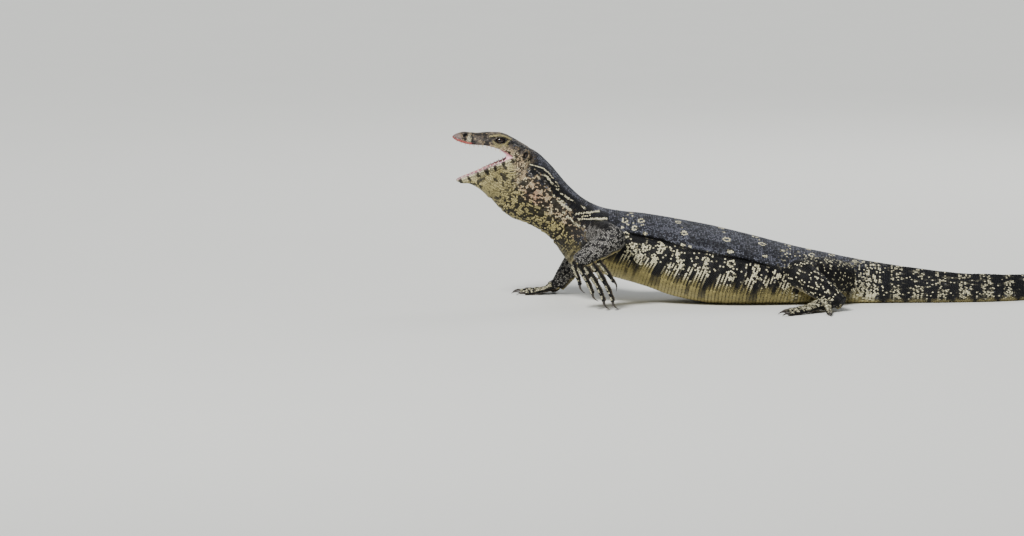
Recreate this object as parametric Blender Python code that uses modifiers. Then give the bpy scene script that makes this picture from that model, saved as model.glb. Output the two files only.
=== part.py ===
"""Water monitor lizard, life size: a low walking stance, head raised, mouth open.

+X runs from the head towards the tail, +Y to the animal's right, +Z up, and the floor is z = 0.
Sizes are metres and angles are degrees. The last step moves the model over its own bounding box.
"""

import math
from dataclasses import dataclass

import bmesh
import bpy
import numpy as np
from mathutils import Matrix, Vector
from mathutils.bvhtree import BVHTree

GAP = 0.0003  # air between two neighbouring parts

TAIL_LENGTH = 1.04  # vent to tip
TAIL_BASE = 0.352  # where the vent lies along X
TAIL_SWING = 38.0  # the most that the tail turns aside
TAIL_TURNS = 0.9  # how many waves the tail makes
TAIL_STRAIGHT = 0.12  # share of the tail that runs straight back

EYE_RADIUS = 0.0075
EYE_CENTRE = (-0.2235, 0.0186, 0.2603)  # of the right eye
MOUTH_CORNER = (-0.203, 0.2344)  # x and z
JAW_DROP = 22.4  # angle of the lower jaw below the horizontal
HINGE_START = (-0.2110, 0.2368)  # x and z where the parting behind the mouth's corner starts
HINGE_SLOPE = 37.0  # how steeply it runs down towards the neck
HINGE_LENGTH = 0.050

BODY_VOXEL = 0.0022
HEAD_VOXEL = 0.0012
FOOT_VOXEL = 0.0013
BODY_TRIANGLES = 3900
HEAD_TRIANGLES = 3000
FOOT_TRIANGLES = 620

SKIN = ("scaly_skin", (0.055, 0.055, 0.052), 0.55)
HORN = ("claw_horn", (0.045, 0.038, 0.032), 0.35)
EYE = ("eye", (0.02, 0.014, 0.01), 0.08)
TONGUE = ("tongue", (0.32, 0.13, 0.17), 0.35)


@dataclass(frozen=True)
class Station:
    """A cross-section: its centre, the lean of its top towards the tail, and its half sizes."""

    x: float
    y: float
    z: float
    lean: float
    half_width: float
    up: float
    down: float
    sag: float = 0.0  # how far the widest point lies below the centre
    belly: float = 1.0  # 1 is round, less is flatter


def round_station(x, y, z, lean, half_width, half_depth, sag=0.0, belly=1.0):
    return Station(x, y, z, lean, half_width, half_depth, half_depth, sag, belly)


TRUNK = (
    round_station(-0.2200, 0.000, 0.2165, 34.5, 0.0275, 0.0470),
    round_station(-0.1998, 0.000, 0.2009, 37.1, 0.0365, 0.0528),
    round_station(-0.1757, 0.000, 0.1797, 36.9, 0.0415, 0.0525),
    round_station(-0.1465, 0.000, 0.1585, 36.9, 0.0400, 0.0440),
    round_station(-0.1192, 0.000, 0.1368, 37.5, 0.0405, 0.0410),
    round_station(-0.0848, 0.000, 0.1056, 24.0, 0.0490, 0.0523, 0.04, 0.95),
    round_station(-0.0455, 0.002, 0.0959, 14.8, 0.0570, 0.0529, 0.06, 0.90),
    round_station(0.0016, 0.003, 0.0864, 6.5, 0.0650, 0.0564, 0.09, 0.85),
    round_station(0.0528, 0.002, 0.0732, 3.0, 0.0720, 0.0613, 0.11, 0.80),
    round_station(0.1024, 0.000, 0.0632, 1.5, 0.0760, 0.0625, 0.12, 0.76),
    round_station(0.1600, -0.003, 0.0550, 0.0, 0.0750, 0.0578, 0.12, 0.74),
    round_station(0.2080, -0.004, 0.0492, 0.0, 0.0670, 0.0516, 0.11, 0.74),
    round_station(0.2560, -0.003, 0.0434, 0.0, 0.0570, 0.0454, 0.10, 0.76),
    round_station(0.3040, -0.001, 0.0384, 0.0, 0.0460, 0.0400, 0.08, 0.80),
)

# share of the tail's length, half width, half depth
TAIL_SIZES = (
    (0.000, 0.0370, 0.0352),
    (0.046, 0.0300, 0.0310),
    (0.095, 0.0245, 0.0272),
    (0.150, 0.0200, 0.0240),
    (0.205, 0.0170, 0.0219),
    (0.265, 0.0150, 0.0207),
    (0.400, 0.0118, 0.0178),
    (0.550, 0.0090, 0.0146),
    (0.700, 0.0066, 0.0112),
    (0.850, 0.0046, 0.0071),
    (0.950, 0.0034, 0.0043),
    (1.000, 0.0024, 0.0027),
)

UPPER_HEAD = (
    Station(-0.3000, 0, 0.2655, 0, 0.0030, 0.0012, 0.0016, 0.05, 0.7),
    Station(-0.2965, 0, 0.2645, 0, 0.0090, 0.0050, 0.0034, 0.10, 0.6),
    Station(-0.2900, 0, 0.2635, 0, 0.0135, 0.0086, 0.0055, 0.12, 0.5),
    Station(-0.2816, 0, 0.2620, 0, 0.0160, 0.0116, 0.0068, 0.14, 0.5),
    Station(-0.2720, 0, 0.2605, 0, 0.0175, 0.0124, 0.0074, 0.16, 0.5),
    Station(-0.2592, 0, 0.2600, 0, 0.0195, 0.0122, 0.0076, 0.18, 0.5),
    Station(-0.2464, 0, 0.2600, 0, 0.0222, 0.0134, 0.0086, 0.18, 0.5),
    Station(-0.2336, 0, 0.2580, 0, 0.0252, 0.0152, 0.0095, 0.18, 0.5),
    Station(-0.2240, 0, 0.2550, 0, 0.0276, 0.0178, 0.0098, 0.16, 0.5),
    Station(-0.2144, 0, 0.2510, 0, 0.0296, 0.0186, 0.0106, 0.14, 0.6),
    Station(-0.2032, 0, 0.2450, 0, 0.0312, 0.0190, 0.0120, 0.12, 0.8),
    Station(-0.1920, 0, 0.2380, 0, 0.0322, 0.0196, 0.0200, 0.08, 0.9),
    Station(-0.1790, 0, 0.2280, 0, 0.0330, 0.0218, 0.0280, 0.04, 1.0),
)

# how far along the jaw from the mouth's corner, half width, height above and depth below the lip
LOWER_JAW = (
    (-0.0160, 0.0300, 0.0000, 0.0200),
    (0.0000, 0.0300, 0.0000, 0.0190),
    (0.0120, 0.0286, 0.0002, 0.0175),
    (0.0280, 0.0256, 0.0012, 0.0160),
    (0.0530, 0.0206, 0.0002, 0.0148),
    (0.0740, 0.0158, 0.0002, 0.0140),
    (0.0880, 0.0112, 0.0008, 0.0110),
    (0.0955, 0.0066, 0.0008, 0.0068),
    (0.0985, 0.0024, 0.0000, 0.0022),
)

THROAT = (
    Station(-0.2845, 0, 0.1955, 27, 0.0100, 0.0040, 0.0036),
    Station(-0.2690, 0, 0.1960, 26, 0.0150, 0.0110, 0.0068),
    Station(-0.2550, 0, 0.1945, 25, 0.0200, 0.0220, 0.0118),
    Station(-0.2410, 0, 0.1950, 24, 0.0255, 0.0290, 0.0212),
    Station(-0.2270, 0, 0.1980, 29, 0.0310, 0.0310, 0.0335),
    Station(-0.2110, 0, 0.2050, 34, 0.0347, 0.0400, 0.0470),
    Station(-0.1998, 0, 0.2009, 37, 0.0365, 0.0528, 0.0528),
)


@dataclass(frozen=True)
class Digit:
    """A toe: where it leaves the foot, the way it starts and ends, and its length and root radius."""

    root: tuple
    start: tuple
    end: tuple
    length: float
    radius: float


@dataclass(frozen=True)
class Leg:
    """A leg: its joints, the radii at root, upper middle, bend, lower middle and end, and its toes."""

    name: str
    joints: tuple
    radii: tuple
    heading: float  # way the planted foot points, from -X towards the animal's own outside
    toes: tuple  # for each toe, its turn outwards, its length and how far out its knuckle lies
    toe_radius: float
    sole: float  # length from the wrist or ankle to the knuckles
    hanging: tuple = ()  # toes of a lifted foot, given in full


FORE_TOES = ((-34, 0.034, -0.013), (-14, 0.044, -0.007), (4, 0.050, 0.000),
             (24, 0.049, 0.007), (56, 0.036, 0.012))
HIND_TOES = ((-30, 0.028, -0.014), (-15, 0.040, -0.008), (-2, 0.054, -0.001),
             (13, 0.066, 0.007), (62, 0.040, 0.014))

LIFTED_HAND = (
    Digit((-0.1072, -0.1140, 0.0700), (0.40, -0.06, -0.90), (0.24, 0.02, -0.97), 0.031, 0.0048),
    Digit((-0.0965, -0.1200, 0.0650), (0.56, -0.10, -0.82), (0.34, 0.00, -0.94), 0.042, 0.0052),
    Digit((-0.0850, -0.1230, 0.0640), (0.62, -0.12, -0.78), (0.30, 0.00, -0.95), 0.0552, 0.0053),
    Digit((-0.0745, -0.1210, 0.0690), (0.64, -0.10, -0.76), (0.30, 0.00, -0.95), 0.0615, 0.0053),
    Digit((-0.0680, -0.1160, 0.0775), (0.68, -0.08, -0.72), (0.50, 0.00, -0.86), 0.040, 0.0048),
)

LEGS = (
    Leg("left_fore", ((-0.066, -0.032, 0.112), (-0.046, -0.105, 0.111), (-0.090, -0.117, 0.084)),
        (0.0250, 0.0230, 0.0212, 0.0195, 0.0142), 0, (), 0.0050, 0.0, LIFTED_HAND),
    Leg("right_fore", ((-0.066, 0.032, 0.108), (-0.084, 0.106, 0.080), (-0.123, 0.108, 0.026)),
        (0.0250, 0.0225, 0.0205, 0.0190, 0.0140), 22, FORE_TOES, 0.0050, 0.024),
    Leg("left_hind", ((0.324, -0.018, 0.040), (0.252, -0.105, 0.056), (0.306, -0.134, 0.020)),
        (0.0270, 0.0310, 0.0240, 0.0205, 0.0135), 30, HIND_TOES, 0.0054, 0.036),
    Leg("right_hind", ((0.324, 0.018, 0.036), (0.272, 0.110, 0.046), (0.334, 0.134, 0.020)),
        (0.0250, 0.0270, 0.0230, 0.0200, 0.0135), 26, HIND_TOES, 0.0054, 0.036),
)
LIMB_PARTS = {"fore": ("upper_arm", "forearm", "hand"), "hind": ("thigh", "shank", "foot")}

WRIST_SPREAD = 0.32  # how far the rays of hand and foot already lie apart at the wrist
CLAW_LENGTH = 0.0155
TOE_TAPER = 0.68  # tip radius over root radius
CLAW_ROOT = 0.70  # claw's radius over the toe's tip radius


def clear_scene():
    for old in list(bpy.data.objects):
        bpy.data.objects.remove(old)


def new_collection(name):
    made = bpy.data.collections.new(name)
    bpy.context.scene.collection.children.link(made)
    return made


def new_object(name, mesh, collection):
    made = bpy.data.objects.new(name, mesh)
    collection.objects.link(made)
    return made


def activate(obj):
    for other in bpy.context.selected_objects:
        other.select_set(False)
    obj.select_set(True)
    bpy.context.view_layer.objects.active = obj


def smooth_rows(rows, steps):
    """Rows between the given ones, read from a smooth curve over the distance along their centres."""
    rows = np.array(rows, float)
    along = np.concatenate([[0], np.cumsum(np.linalg.norm(np.diff(rows[:, :3], axis=0), axis=1))])
    slopes = np.gradient(rows, along, axis=0)
    made = []
    for place in np.linspace(0, along[-1], steps):
        k = min(int(np.searchsorted(along, place, side="right")) - 1, len(rows) - 2)
        span = along[k + 1] - along[k]
        t = (place - along[k]) / span
        start = (1 + 2 * t) * (1 - t) ** 2 * rows[k] + t * (1 - t) ** 2 * span * slopes[k]
        end = t * t * (3 - 2 * t) * rows[k + 1] + t * t * (t - 1) * span * slopes[k + 1]
        made.append(start + end)
    return np.array(made)


def outline(half_width, up, down, sag, belly, count):
    """Side and rise of the points round a cross-section, from the top."""
    angles = np.linspace(0, 2 * math.pi, count, endpoint=False)
    turn, height = np.sin(angles), np.cos(angles)
    side = half_width * turn * (1 - sag * height)
    low = -np.abs(np.minimum(height, 0)) ** belly
    rise = np.where(height > 0, up * height, down * low)
    return side, rise, angles


def loft(name, rings, collection):
    """A closed skin over a row of rings, with a flat face at each end."""
    mesh = bpy.data.meshes.new(name)
    shell = bmesh.new()
    loops = [[shell.verts.new(point) for point in ring] for ring in rings]
    count = len(loops[0])
    for near, far in zip(loops, loops[1:]):
        for k in range(count):
            after = (k + 1) % count
            shell.faces.new((near[k], near[after], far[after], far[k]))
    shell.faces.new(loops[0][::-1])
    shell.faces.new(loops[-1])
    bmesh.ops.recalc_face_normals(shell, faces=shell.faces)
    shell.to_mesh(mesh)
    shell.free()
    return new_object(name, mesh, collection)


def station_rings(stations, steps, count, reshape=None):
    """Rings of a form whose sections stand upright across a path, each with its own lean."""
    rows = smooth_rows(
        [(s.x, s.y, s.z, s.lean, s.half_width, s.up, s.down, s.sag, s.belly) for s in stations], steps
    )
    heading = np.gradient(rows[:, :2], axis=0)
    heading /= np.linalg.norm(heading, axis=1)[:, None]
    rings = []
    for row, (hx, hy) in zip(rows, heading):
        centre, lean = row[:3], math.radians(row[3])
        side, rise, angles = outline(*row[4:9], count)
        if reshape:
            side, rise = reshape(centre, side, rise, angles)
        across = np.array((-hy, hx, 0.0))
        upward = np.array((hx * math.sin(lean), hy * math.sin(lean), math.cos(lean)))
        rings.append(centre + side[:, None] * across + rise[:, None] * upward)
    return rings


FOLD_FROM, FOLD_TO = -0.030, 0.225  # the skin fold along each flank
FOLD_ANGLES = ((-0.016, 62.0), (0.100, 60.0), (0.200, 70.0))  # x, and angle down from the ridge
FOLD_DEPTH, FOLD_LIP = 0.0052, 0.0022
KEEL_NARROWING = 0.35


def shaped_trunk(centre, side, rise, angles):
    """Adds the flank's fold to the trunk, and narrows the tail towards its keel."""
    x = centre[0]
    if x > TAIL_BASE:
        share = min(1.0, (x - TAIL_BASE) / 0.10)
        narrow = 1 - share * KEEL_NARROWING * np.maximum(np.cos(angles), 0) ** 1.5
        return side * narrow, rise
    ramp = min(1.0, max(0.0, (x - FOLD_FROM) / 0.04)) * min(1.0, max(0.0, (FOLD_TO - x) / 0.05))
    down = np.degrees(np.minimum(angles, 2 * math.pi - angles))
    place = np.interp(x, *zip(*FOLD_ANGLES))
    groove = FOLD_DEPTH * np.exp(-(((down - place) / 5.0) ** 2))
    lip = FOLD_LIP * np.exp(-(((down - place + 11.0) / 7.0) ** 2))
    radius = np.hypot(side, rise)
    scale = 1 + ramp * (lip - groove) / radius
    return side * scale, rise * scale


def tail_stations():
    """Stations from the vent to the tail's tip, along a path that turns to one side and back."""
    shares, widths, depths = (np.array(c) for c in zip(*TAIL_SIZES))
    made = []
    steps = 60
    x, y = TAIL_BASE, 0.0
    for k in range(steps + 1):
        share = k / steps
        if k % 4 == 0:
            depth = float(np.interp(share, shares, depths))
            width = float(np.interp(share, shares, widths))
            made.append(round_station(x, y, depth * 0.955, 0.0, width, depth, 0.12, 0.85))
        wave = max(0.0, share - TAIL_STRAIGHT)
        turn = math.radians(TAIL_SWING) * math.sin(2 * math.pi * TAIL_TURNS * wave)
        x += TAIL_LENGTH / steps * math.cos(turn)
        y += TAIL_LENGTH / steps * math.sin(turn)
    return made


def tube(name, points, radii, collection, count=20, steps=24, flat=1.0, first_way=None):
    """A round form along a path, with its radius given at each point, squeezed upright by flat."""
    rows = smooth_rows([(*p, r) for p, r in zip(points, radii)], steps)
    ways = np.gradient(rows[:, :3], axis=0)
    if first_way is not None:
        ways[0] = first_way
    across = None
    rings = []
    for row, way in zip(rows, ways):
        way = Vector(way).normalized()
        if across is None:
            across = way.orthogonal().normalized()
            if abs(way.z) < 0.9:
                across = way.cross(Vector((0, 0, 1))).normalized()
        across = (across - across.dot(way) * way).normalized()
        upward = across.cross(way)
        centre, radius = Vector(row[:3]), float(row[3])
        ring = []
        for k in range(count):
            a = 2 * math.pi * k / count
            ring.append(centre + (across * math.cos(a) + upward * (flat * math.sin(a))) * radius)
        rings.append(ring)
    return loft(name, rings, collection)


def ellipsoid(name, centre, half, collection, tilt=0.0, segments=24):
    """A ball stretched to its half sizes, tilted about Y."""
    bpy.ops.mesh.primitive_uv_sphere_add(segments=segments, ring_count=segments // 2, radius=1)
    made = bpy.context.object
    made.name = name
    turn = Matrix.Rotation(math.radians(tilt), 4, "Y")
    made.data.transform(Matrix.Translation(centre) @ turn @ Matrix.Diagonal((*half, 1)))
    for old in list(made.users_collection):
        old.objects.unlink(made)
    collection.objects.link(made)
    return made


def plate(name, centre, normal, radius, thickness, collection, corners=24):
    """A disc, or a half space when thick, whose near face starts at the centre, along the normal."""
    bpy.ops.mesh.primitive_cylinder_add(vertices=corners, radius=radius, depth=thickness)
    made = bpy.context.object
    made.name = name
    normal = Vector(normal).normalized()
    turn = normal.to_track_quat("Z", "Y").to_matrix().to_4x4()
    middle = Vector(centre) + normal * thickness / 2
    made.data.transform(Matrix.Translation(middle) @ turn)
    for old in list(made.users_collection):
        old.objects.unlink(made)
    collection.objects.link(made)
    return made


def block(name, centre, size, collection, tilt=0.0):
    """A box tilted about Y."""
    bpy.ops.mesh.primitive_cube_add(size=1)
    made = bpy.context.object
    made.name = name
    turn = Matrix.Rotation(math.radians(tilt), 4, "Y")
    made.data.transform(Matrix.Translation(centre) @ turn @ Matrix.Diagonal((*size, 1)))
    for old in list(made.users_collection):
        old.objects.unlink(made)
    collection.objects.link(made)
    return made


def joined(name, forms):
    activate(forms[0])
    for form in forms:
        form.select_set(True)
    bpy.ops.object.join()
    forms[0].name = name
    return forms[0]


def apply_all(obj):
    activate(obj)
    for modifier in list(obj.modifiers):
        bpy.ops.object.modifier_apply(modifier=modifier.name)


def fused(name, forms, voxel, smoothing, triangles, trims):
    """One skin round overlapping forms, smoothed, trimmed and thinned to about that many triangles."""
    body = joined(name, forms)
    remesh = body.modifiers.new("Fuse", "REMESH")
    remesh.mode = "VOXEL"
    remesh.voxel_size = voxel
    soften = body.modifiers.new("Soften", "SMOOTH")
    soften.factor = 0.5
    soften.iterations = smoothing
    apply_all(body)
    boolean(body, trims, "DIFFERENCE", "MANIFOLD")
    thin = body.modifiers.new("Thin", "DECIMATE")
    thin.ratio = min(1.0, triangles / sum(len(face.vertices) - 2 for face in body.data.polygons))
    apply_all(body)
    return body


def boolean(obj, others, operation, solver="EXACT"):
    """Cuts or joins the other objects in one step, and removes them."""
    group = new_collection("Operands")
    for other in others:
        for old in list(other.users_collection):
            old.objects.unlink(other)
        group.objects.link(other)
    modifier = obj.modifiers.new("Boolean", "BOOLEAN")
    modifier.operation = operation
    modifier.operand_type = "COLLECTION"
    modifier.collection = group
    modifier.solver = solver
    apply_all(obj)
    for other in others:
        bpy.data.objects.remove(other)
    bpy.data.collections.remove(group)
    return obj


def loose_pieces(obj):
    activate(obj)
    bpy.ops.object.mode_set(mode="EDIT")
    bpy.ops.mesh.select_all(action="SELECT")
    bpy.ops.mesh.separate(type="LOOSE")
    bpy.ops.object.mode_set(mode="OBJECT")
    return list(bpy.context.selected_objects)


def holds(obj, point):
    """Whether the point lies inside the closed mesh."""
    tree = BVHTree.FromObject(obj, bpy.context.evaluated_depsgraph_get())
    way = Vector((0.31, 0.17, 0.93)).normalized()
    start, hits = Vector(point), 0
    while True:
        found, _, _, _ = tree.ray_cast(start, way)
        if found is None:
            return hits % 2 == 1
        hits += 1
        start = found + way * 1e-6


def volume(obj):
    shell = bmesh.new()
    shell.from_mesh(obj.data)
    size = shell.calc_volume()
    shell.free()
    return size


def named_pieces(obj, anchors):
    """Names each loose piece by the anchor point that it holds, and drops the scraps."""
    made = {}
    for piece in loose_pieces(obj):
        inside = [name for name, point in anchors.items() if holds(piece, point)]
        if inside:
            piece.name = inside[0]
            made[inside[0]] = piece
        else:
            print("scrap of", round(volume(piece) * 1e9, 1), "mm3")
            bpy.data.objects.remove(piece)
    missing = set(anchors) - set(made)
    if missing:
        print("no piece holds the anchors", sorted(missing))
    return made


def jaw_point(along, above, side=0.0):
    """A point given along the lower jaw from the mouth's corner and above its lip."""
    drop = math.radians(JAW_DROP)
    return (
        MOUTH_CORNER[0] - along * math.cos(drop) - above * math.sin(drop),
        side,
        MOUTH_CORNER[1] - along * math.sin(drop) + above * math.cos(drop),
    )


def jaw_rings(steps, count):
    rows = smooth_rows([(along, 0, 0, w, up, down) for along, w, up, down in LOWER_JAW], steps)
    rings = []
    for along, _, _, width, up, down in rows:
        side, rise, _ = outline(width, up + 0.0004, down, 0.0, 0.8, count)
        rim = np.abs(side) ** 0.85 * width ** 0.15 * np.sign(side)
        rings.append([jaw_point(along, v, s) for s, v in zip(rim, rise)])
    return rings


def toe_path(digit, steps=9):
    """Points along a toe that turns evenly from its first direction to its last."""
    start, end = Vector(digit.start).normalized(), Vector(digit.end).normalized()
    point = Vector(digit.root)
    points = [point.copy()]
    for k in range(steps - 1):
        way = start.lerp(end, (k + 0.5) / (steps - 1)).normalized()
        point = point + way * digit.length / (steps - 1)
        points.append(point.copy())
    return points, end


def planted_toes(leg):
    """The toes of a foot that stands on the floor, fanned about its heading."""
    side = math.copysign(1, leg.joints[2][1])
    wrist = Vector(leg.joints[2])
    digits = []
    for turn, length, out in leg.toes:
        heading = math.radians(leg.heading)
        forward = Vector((-math.cos(heading), side * math.sin(heading), 0))
        outward = Vector((-math.sin(heading), -side * math.cos(heading), 0)) * -1
        root = Vector((wrist.x, wrist.y, 0)) + forward * leg.sole + outward * out
        if abs(turn) > 45:
            root -= forward * leg.sole * 0.35
        root.z = leg.toe_radius + 0.0042
        way = math.radians(turn)
        ahead = forward * math.cos(way) + outward * math.sin(way)
        tip_height = leg.toe_radius * TOE_TAPER - 0.0006
        fall = (tip_height - root.z) / length
        start = Vector((*ahead.xy, fall * 1.7))
        end = Vector((*ahead.xy, fall * 0.3))
        digits.append(Digit(tuple(root), tuple(start), tuple(end), length, leg.toe_radius))
    return digits


def leg_tube(leg, collection):
    """Shoulder or hip to wrist or ankle, as one fleshy form that runs on a little past its end."""
    root, bend, end = (Vector(p) for p in leg.joints)
    r0, r1, r2, r3, r4 = leg.radii
    past = end + (end - bend).normalized() * r4
    points = [root, root.lerp(bend, 0.5), bend, bend.lerp(end, 0.38), end, past]
    upper = tube(leg.name + "_tube_a", points[:3], (r0, r1, r2), collection)
    lower = tube(leg.name + "_tube_b", points[2:], (r2 * 0.97, r3, r4, r4 * 0.85), collection)
    knob = ellipsoid(leg.name + "_joint", bend, (r2, r2, r2), collection)
    return [upper, lower, knob]


def foot_forms(leg, digits, collection):
    """The sole's rays, its pad and the toes, each toe with a knuckle and a soft pad."""
    wrist = Vector(leg.joints[2])
    forms = []
    middle = sum((Vector(d.root) for d in digits), Vector()) / len(digits)
    for k, digit in enumerate(digits):
        root = Vector(digit.root)
        start = wrist + (root - middle) * WRIST_SPREAD
        forms.append(tube(f"{leg.name}_ray_{k}", [start, start.lerp(root, 0.5), root],
                          (leg.radii[4] * 0.72, leg.toe_radius * 1.35, leg.toe_radius * 1.04),
                          collection, count=14, steps=8))
        points, _ = toe_path(digit)
        shares = np.linspace(0, 1, len(points))
        radii = digit.radius * (1 - (1 - TOE_TAPER) * shares)
        radii = radii * (1 + 0.09 * np.cos(shares * 4 * math.pi))
        overrun = points[-1] + (points[-1] - points[-2]).normalized() * 0.004
        forms.append(tube(f"{leg.name}_toe_{k}", [*points, overrun], [*radii, radii[-1]],
                          collection, count=14, steps=20))
    pad = wrist.lerp(middle, 0.62)
    size = (middle - wrist).length
    forms.append(ellipsoid(leg.name + "_pad", pad, (size * 0.42, size * 0.36, size * 0.30), collection))
    return forms


def claw(name, digit, collection):
    """A horn hook that starts at the toe's flat end and curves down."""
    points, way = toe_path(digit)
    root = points[-1] + way * GAP
    radius = digit.radius * TOE_TAPER * CLAW_ROOT
    lift = Vector((0, 0, 1)) - way * way.z
    if lift.length < 0.5:
        lift = Vector((-1, 0, 0)) - way * -way.x
    lift.normalize()
    hook = []
    shares = (0, 0.25, 0.5, 0.75, 1)
    drop = min(0.0045, max(0.0, root.z - 0.0015))
    for share in shares:
        rise = lift * (0.0020 * math.sin(math.pi * share) - drop * share**2)
        hook.append(root + way * CLAW_LENGTH * share + rise)
    radii = [radius * (1 - 0.86 * share**1.3) for share in shares]
    return tube(name, hook, radii, collection, count=6, steps=4, first_way=way)


def make_material(name, colour, roughness):
    material = bpy.data.materials.new(name)
    material.use_nodes = True
    shader = material.node_tree.nodes["Principled BSDF"]
    shader.inputs["Base Color"].default_value = (*colour, 1)
    shader.inputs["Roughness"].default_value = roughness
    shader.inputs["Metallic"].default_value = 0.0
    return material


def floor_block(collection):
    """What lies below the floor: taken off, it leaves the small flats that the animal rests on."""
    return plate("floor", (0.5, 0, 0), (0, 0, -1), 1.6, 0.1, collection, corners=16)


def neck_plane():
    """A point and the tailward direction of the cut between head and neck."""
    station = TRUNK[1]
    lean = math.radians(station.lean)
    way = Vector((math.cos(lean), 0, -math.sin(lean)))
    return Vector((station.x, 0, station.z)) + way * 0.003, way


def trunk_plane(index, share):
    """A point and direction across the trunk, that share of the way past a station."""
    a, b = TRUNK[index], TRUNK[index + 1]
    lean = math.radians(a.lean + (b.lean - a.lean) * share)
    point = Vector((a.x, a.y, a.z)).lerp(Vector((b.x, b.y, b.z)), share)
    return point, Vector((math.cos(lean), 0, -math.sin(lean)))


def names_of(leg):
    side, kind = leg.name.split("_")
    return [f"{side}_{part}" for part in LIMB_PARTS[kind]]


def digits_of(leg):
    return list(leg.hanging) or planted_toes(leg)


def bend_plane(leg):
    """The plane that halves the bend of the elbow or knee."""
    root, bend, end = (Vector(p) for p in leg.joints)
    return bend, ((bend - root).normalized() + (end - bend).normalized()).normalized()


def foot_plane(leg):
    """The plane that halves the bend of the wrist or ankle."""
    bend, end = Vector(leg.joints[1]), Vector(leg.joints[2])
    roots = [Vector(digit.root) for digit in digits_of(leg)]
    middle = sum(roots, Vector()) / len(roots)
    return end, ((end - bend).normalized() + (middle - end).normalized()).normalized()


def trunk_forms(collection):
    stations = [*TRUNK, *tail_stations()]
    forms = [loft("trunk", station_rings(stations, 330, 72, shaped_trunk), collection)]
    forms.append(loft("throat", station_rings(THROAT, 24, 32), collection))
    for leg in LEGS:
        forms += leg_tube(leg, collection)
    return forms


def head_forms(collection):
    forms = [
        loft("upper_head", station_rings(UPPER_HEAD, 70, 48), collection),
        loft("jaw", jaw_rings(60, 40), collection),
        loft("gullet", station_rings(THROAT, 40, 40), collection),
        loft("nape", station_rings(TRUNK[:5], 60, 64), collection),
    ]
    x, y, z = EYE_CENTRE
    for side in (-1, 1):
        forms += [
            ellipsoid("lid", (x, side * y, z), (0.0092, 0.0089, 0.0084), collection),
            ellipsoid("brow", (x - 0.0040, side * 0.0160, z + 0.0063), (0.0185, 0.0064, 0.0042),
                      collection, tilt=5),
            ellipsoid("nose", (-0.2785, side * 0.0088, 0.2662), (0.0100, 0.0072, 0.0066), collection),
            ellipsoid("temple", (-0.2000, side * 0.0235, 0.2440), (0.0190, 0.0090, 0.0105),
                      collection, tilt=25),
            ellipsoid("ear_rim", (-0.1822, side * 0.0272, 0.2385), (0.0080, 0.0046, 0.0100),
                      collection, tilt=25),
        ]
    return forms


def mouth_cutters(collection):
    """The hollows of the palate, the mouth's floor and the throat."""
    floor_middle = jaw_point(0.046, 0.0050)
    return [
        ellipsoid("palate", (-0.2450, 0, 0.2478), (0.0440, 0.0145, 0.0062), collection, 5, 16),
        ellipsoid("floor_of_mouth", floor_middle, (0.0480, 0.0150, 0.0120), collection,
                  -JAW_DROP, 18),
        ellipsoid("gape", (-0.2140, 0, 0.2330), (0.0330, 0.0235, 0.0110), collection, -3, 18),
    ]


def face_cutters(collection):
    """Eye sockets with their slits, ears and nostrils."""
    x, y, z = EYE_CENTRE
    hollow = EYE_RADIUS + GAP
    cutters = []
    for side in (-1, 1):
        cutters += [
            ellipsoid("socket", (x, side * y, z), (hollow, hollow, hollow), collection, 0, 16),
            ellipsoid("slit", (x - 0.0003, side * (y + 0.0080), z - 0.0002), (0.0074, 0.0072, 0.0036),
                      collection, tilt=8, segments=14),
            ellipsoid("ear", (-0.1832, side * 0.0325, 0.2385), (0.0032, 0.0076, 0.0056),
                      collection, tilt=20, segments=12),
            ellipsoid("nostril", (-0.2790, side * 0.0170, 0.2695), (0.0034, 0.0046, 0.0021),
                      collection, tilt=-18, segments=10),
        ]
    return cutters


def tongue_path(side):
    """Root, middle and one tip of the forked tongue, along the floor of the mouth."""
    places = ((0.004, -0.0035, 0.0), (0.030, -0.0040, 0.0), (0.052, -0.0035, 0.0008),
              (0.066, -0.0020, 0.0028), (0.078, 0.0000, 0.0050))
    return [jaw_point(along, above, side * out) for along, above, out in places]


def tongue(name, extra, collection):
    radii = [0.0052 + extra, 0.0046 + extra, 0.0034 + extra, 0.0018 + extra, 0.0007 + extra]
    prongs = [tube(name, tongue_path(side), radii, collection, 8, 11, 0.55) for side in (-1, 1)]
    return boolean(prongs[0], prongs[1:], "UNION")


TEETH_A_SIDE = 9
TOOTH = 0.0022


def teeth(collection):
    """Small hooked teeth along the inner edge of both jaws."""
    made = []
    for side in (-1, 1):
        for k in range(TEETH_A_SIDE):
            share = k / (TEETH_A_SIDE - 1)
            along = 0.020 + 0.068 * share
            width = np.interp(along, [r[0] for r in LOWER_JAW], [r[1] for r in LOWER_JAW]) - 0.0034
            size = TOOTH * (1.1 - 0.3 * share)
            low = Vector(jaw_point(along, -0.0012, side * width))
            made.append(tooth(low, Vector(jaw_point(along - 0.0015, size, side * width)), collection))
            x = -0.2250 - 0.068 * share
            half = np.interp(x, [s.x for s in UPPER_HEAD], [s.half_width for s in UPPER_HEAD]) - 0.0032
            lip = np.interp(x, [s.x for s in UPPER_HEAD], [s.z - s.down for s in UPPER_HEAD])
            high = Vector((x, side * half, lip + 0.0018))
            made.append(tooth(high, Vector((x + 0.0015, side * half, lip - size)), collection))
    return made


def tooth(root, tip, collection):
    return tube("tooth", [root, root.lerp(tip, 0.5), tip], (0.0013, 0.0009, 0.0003),
                collection, count=5, steps=2)


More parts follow.
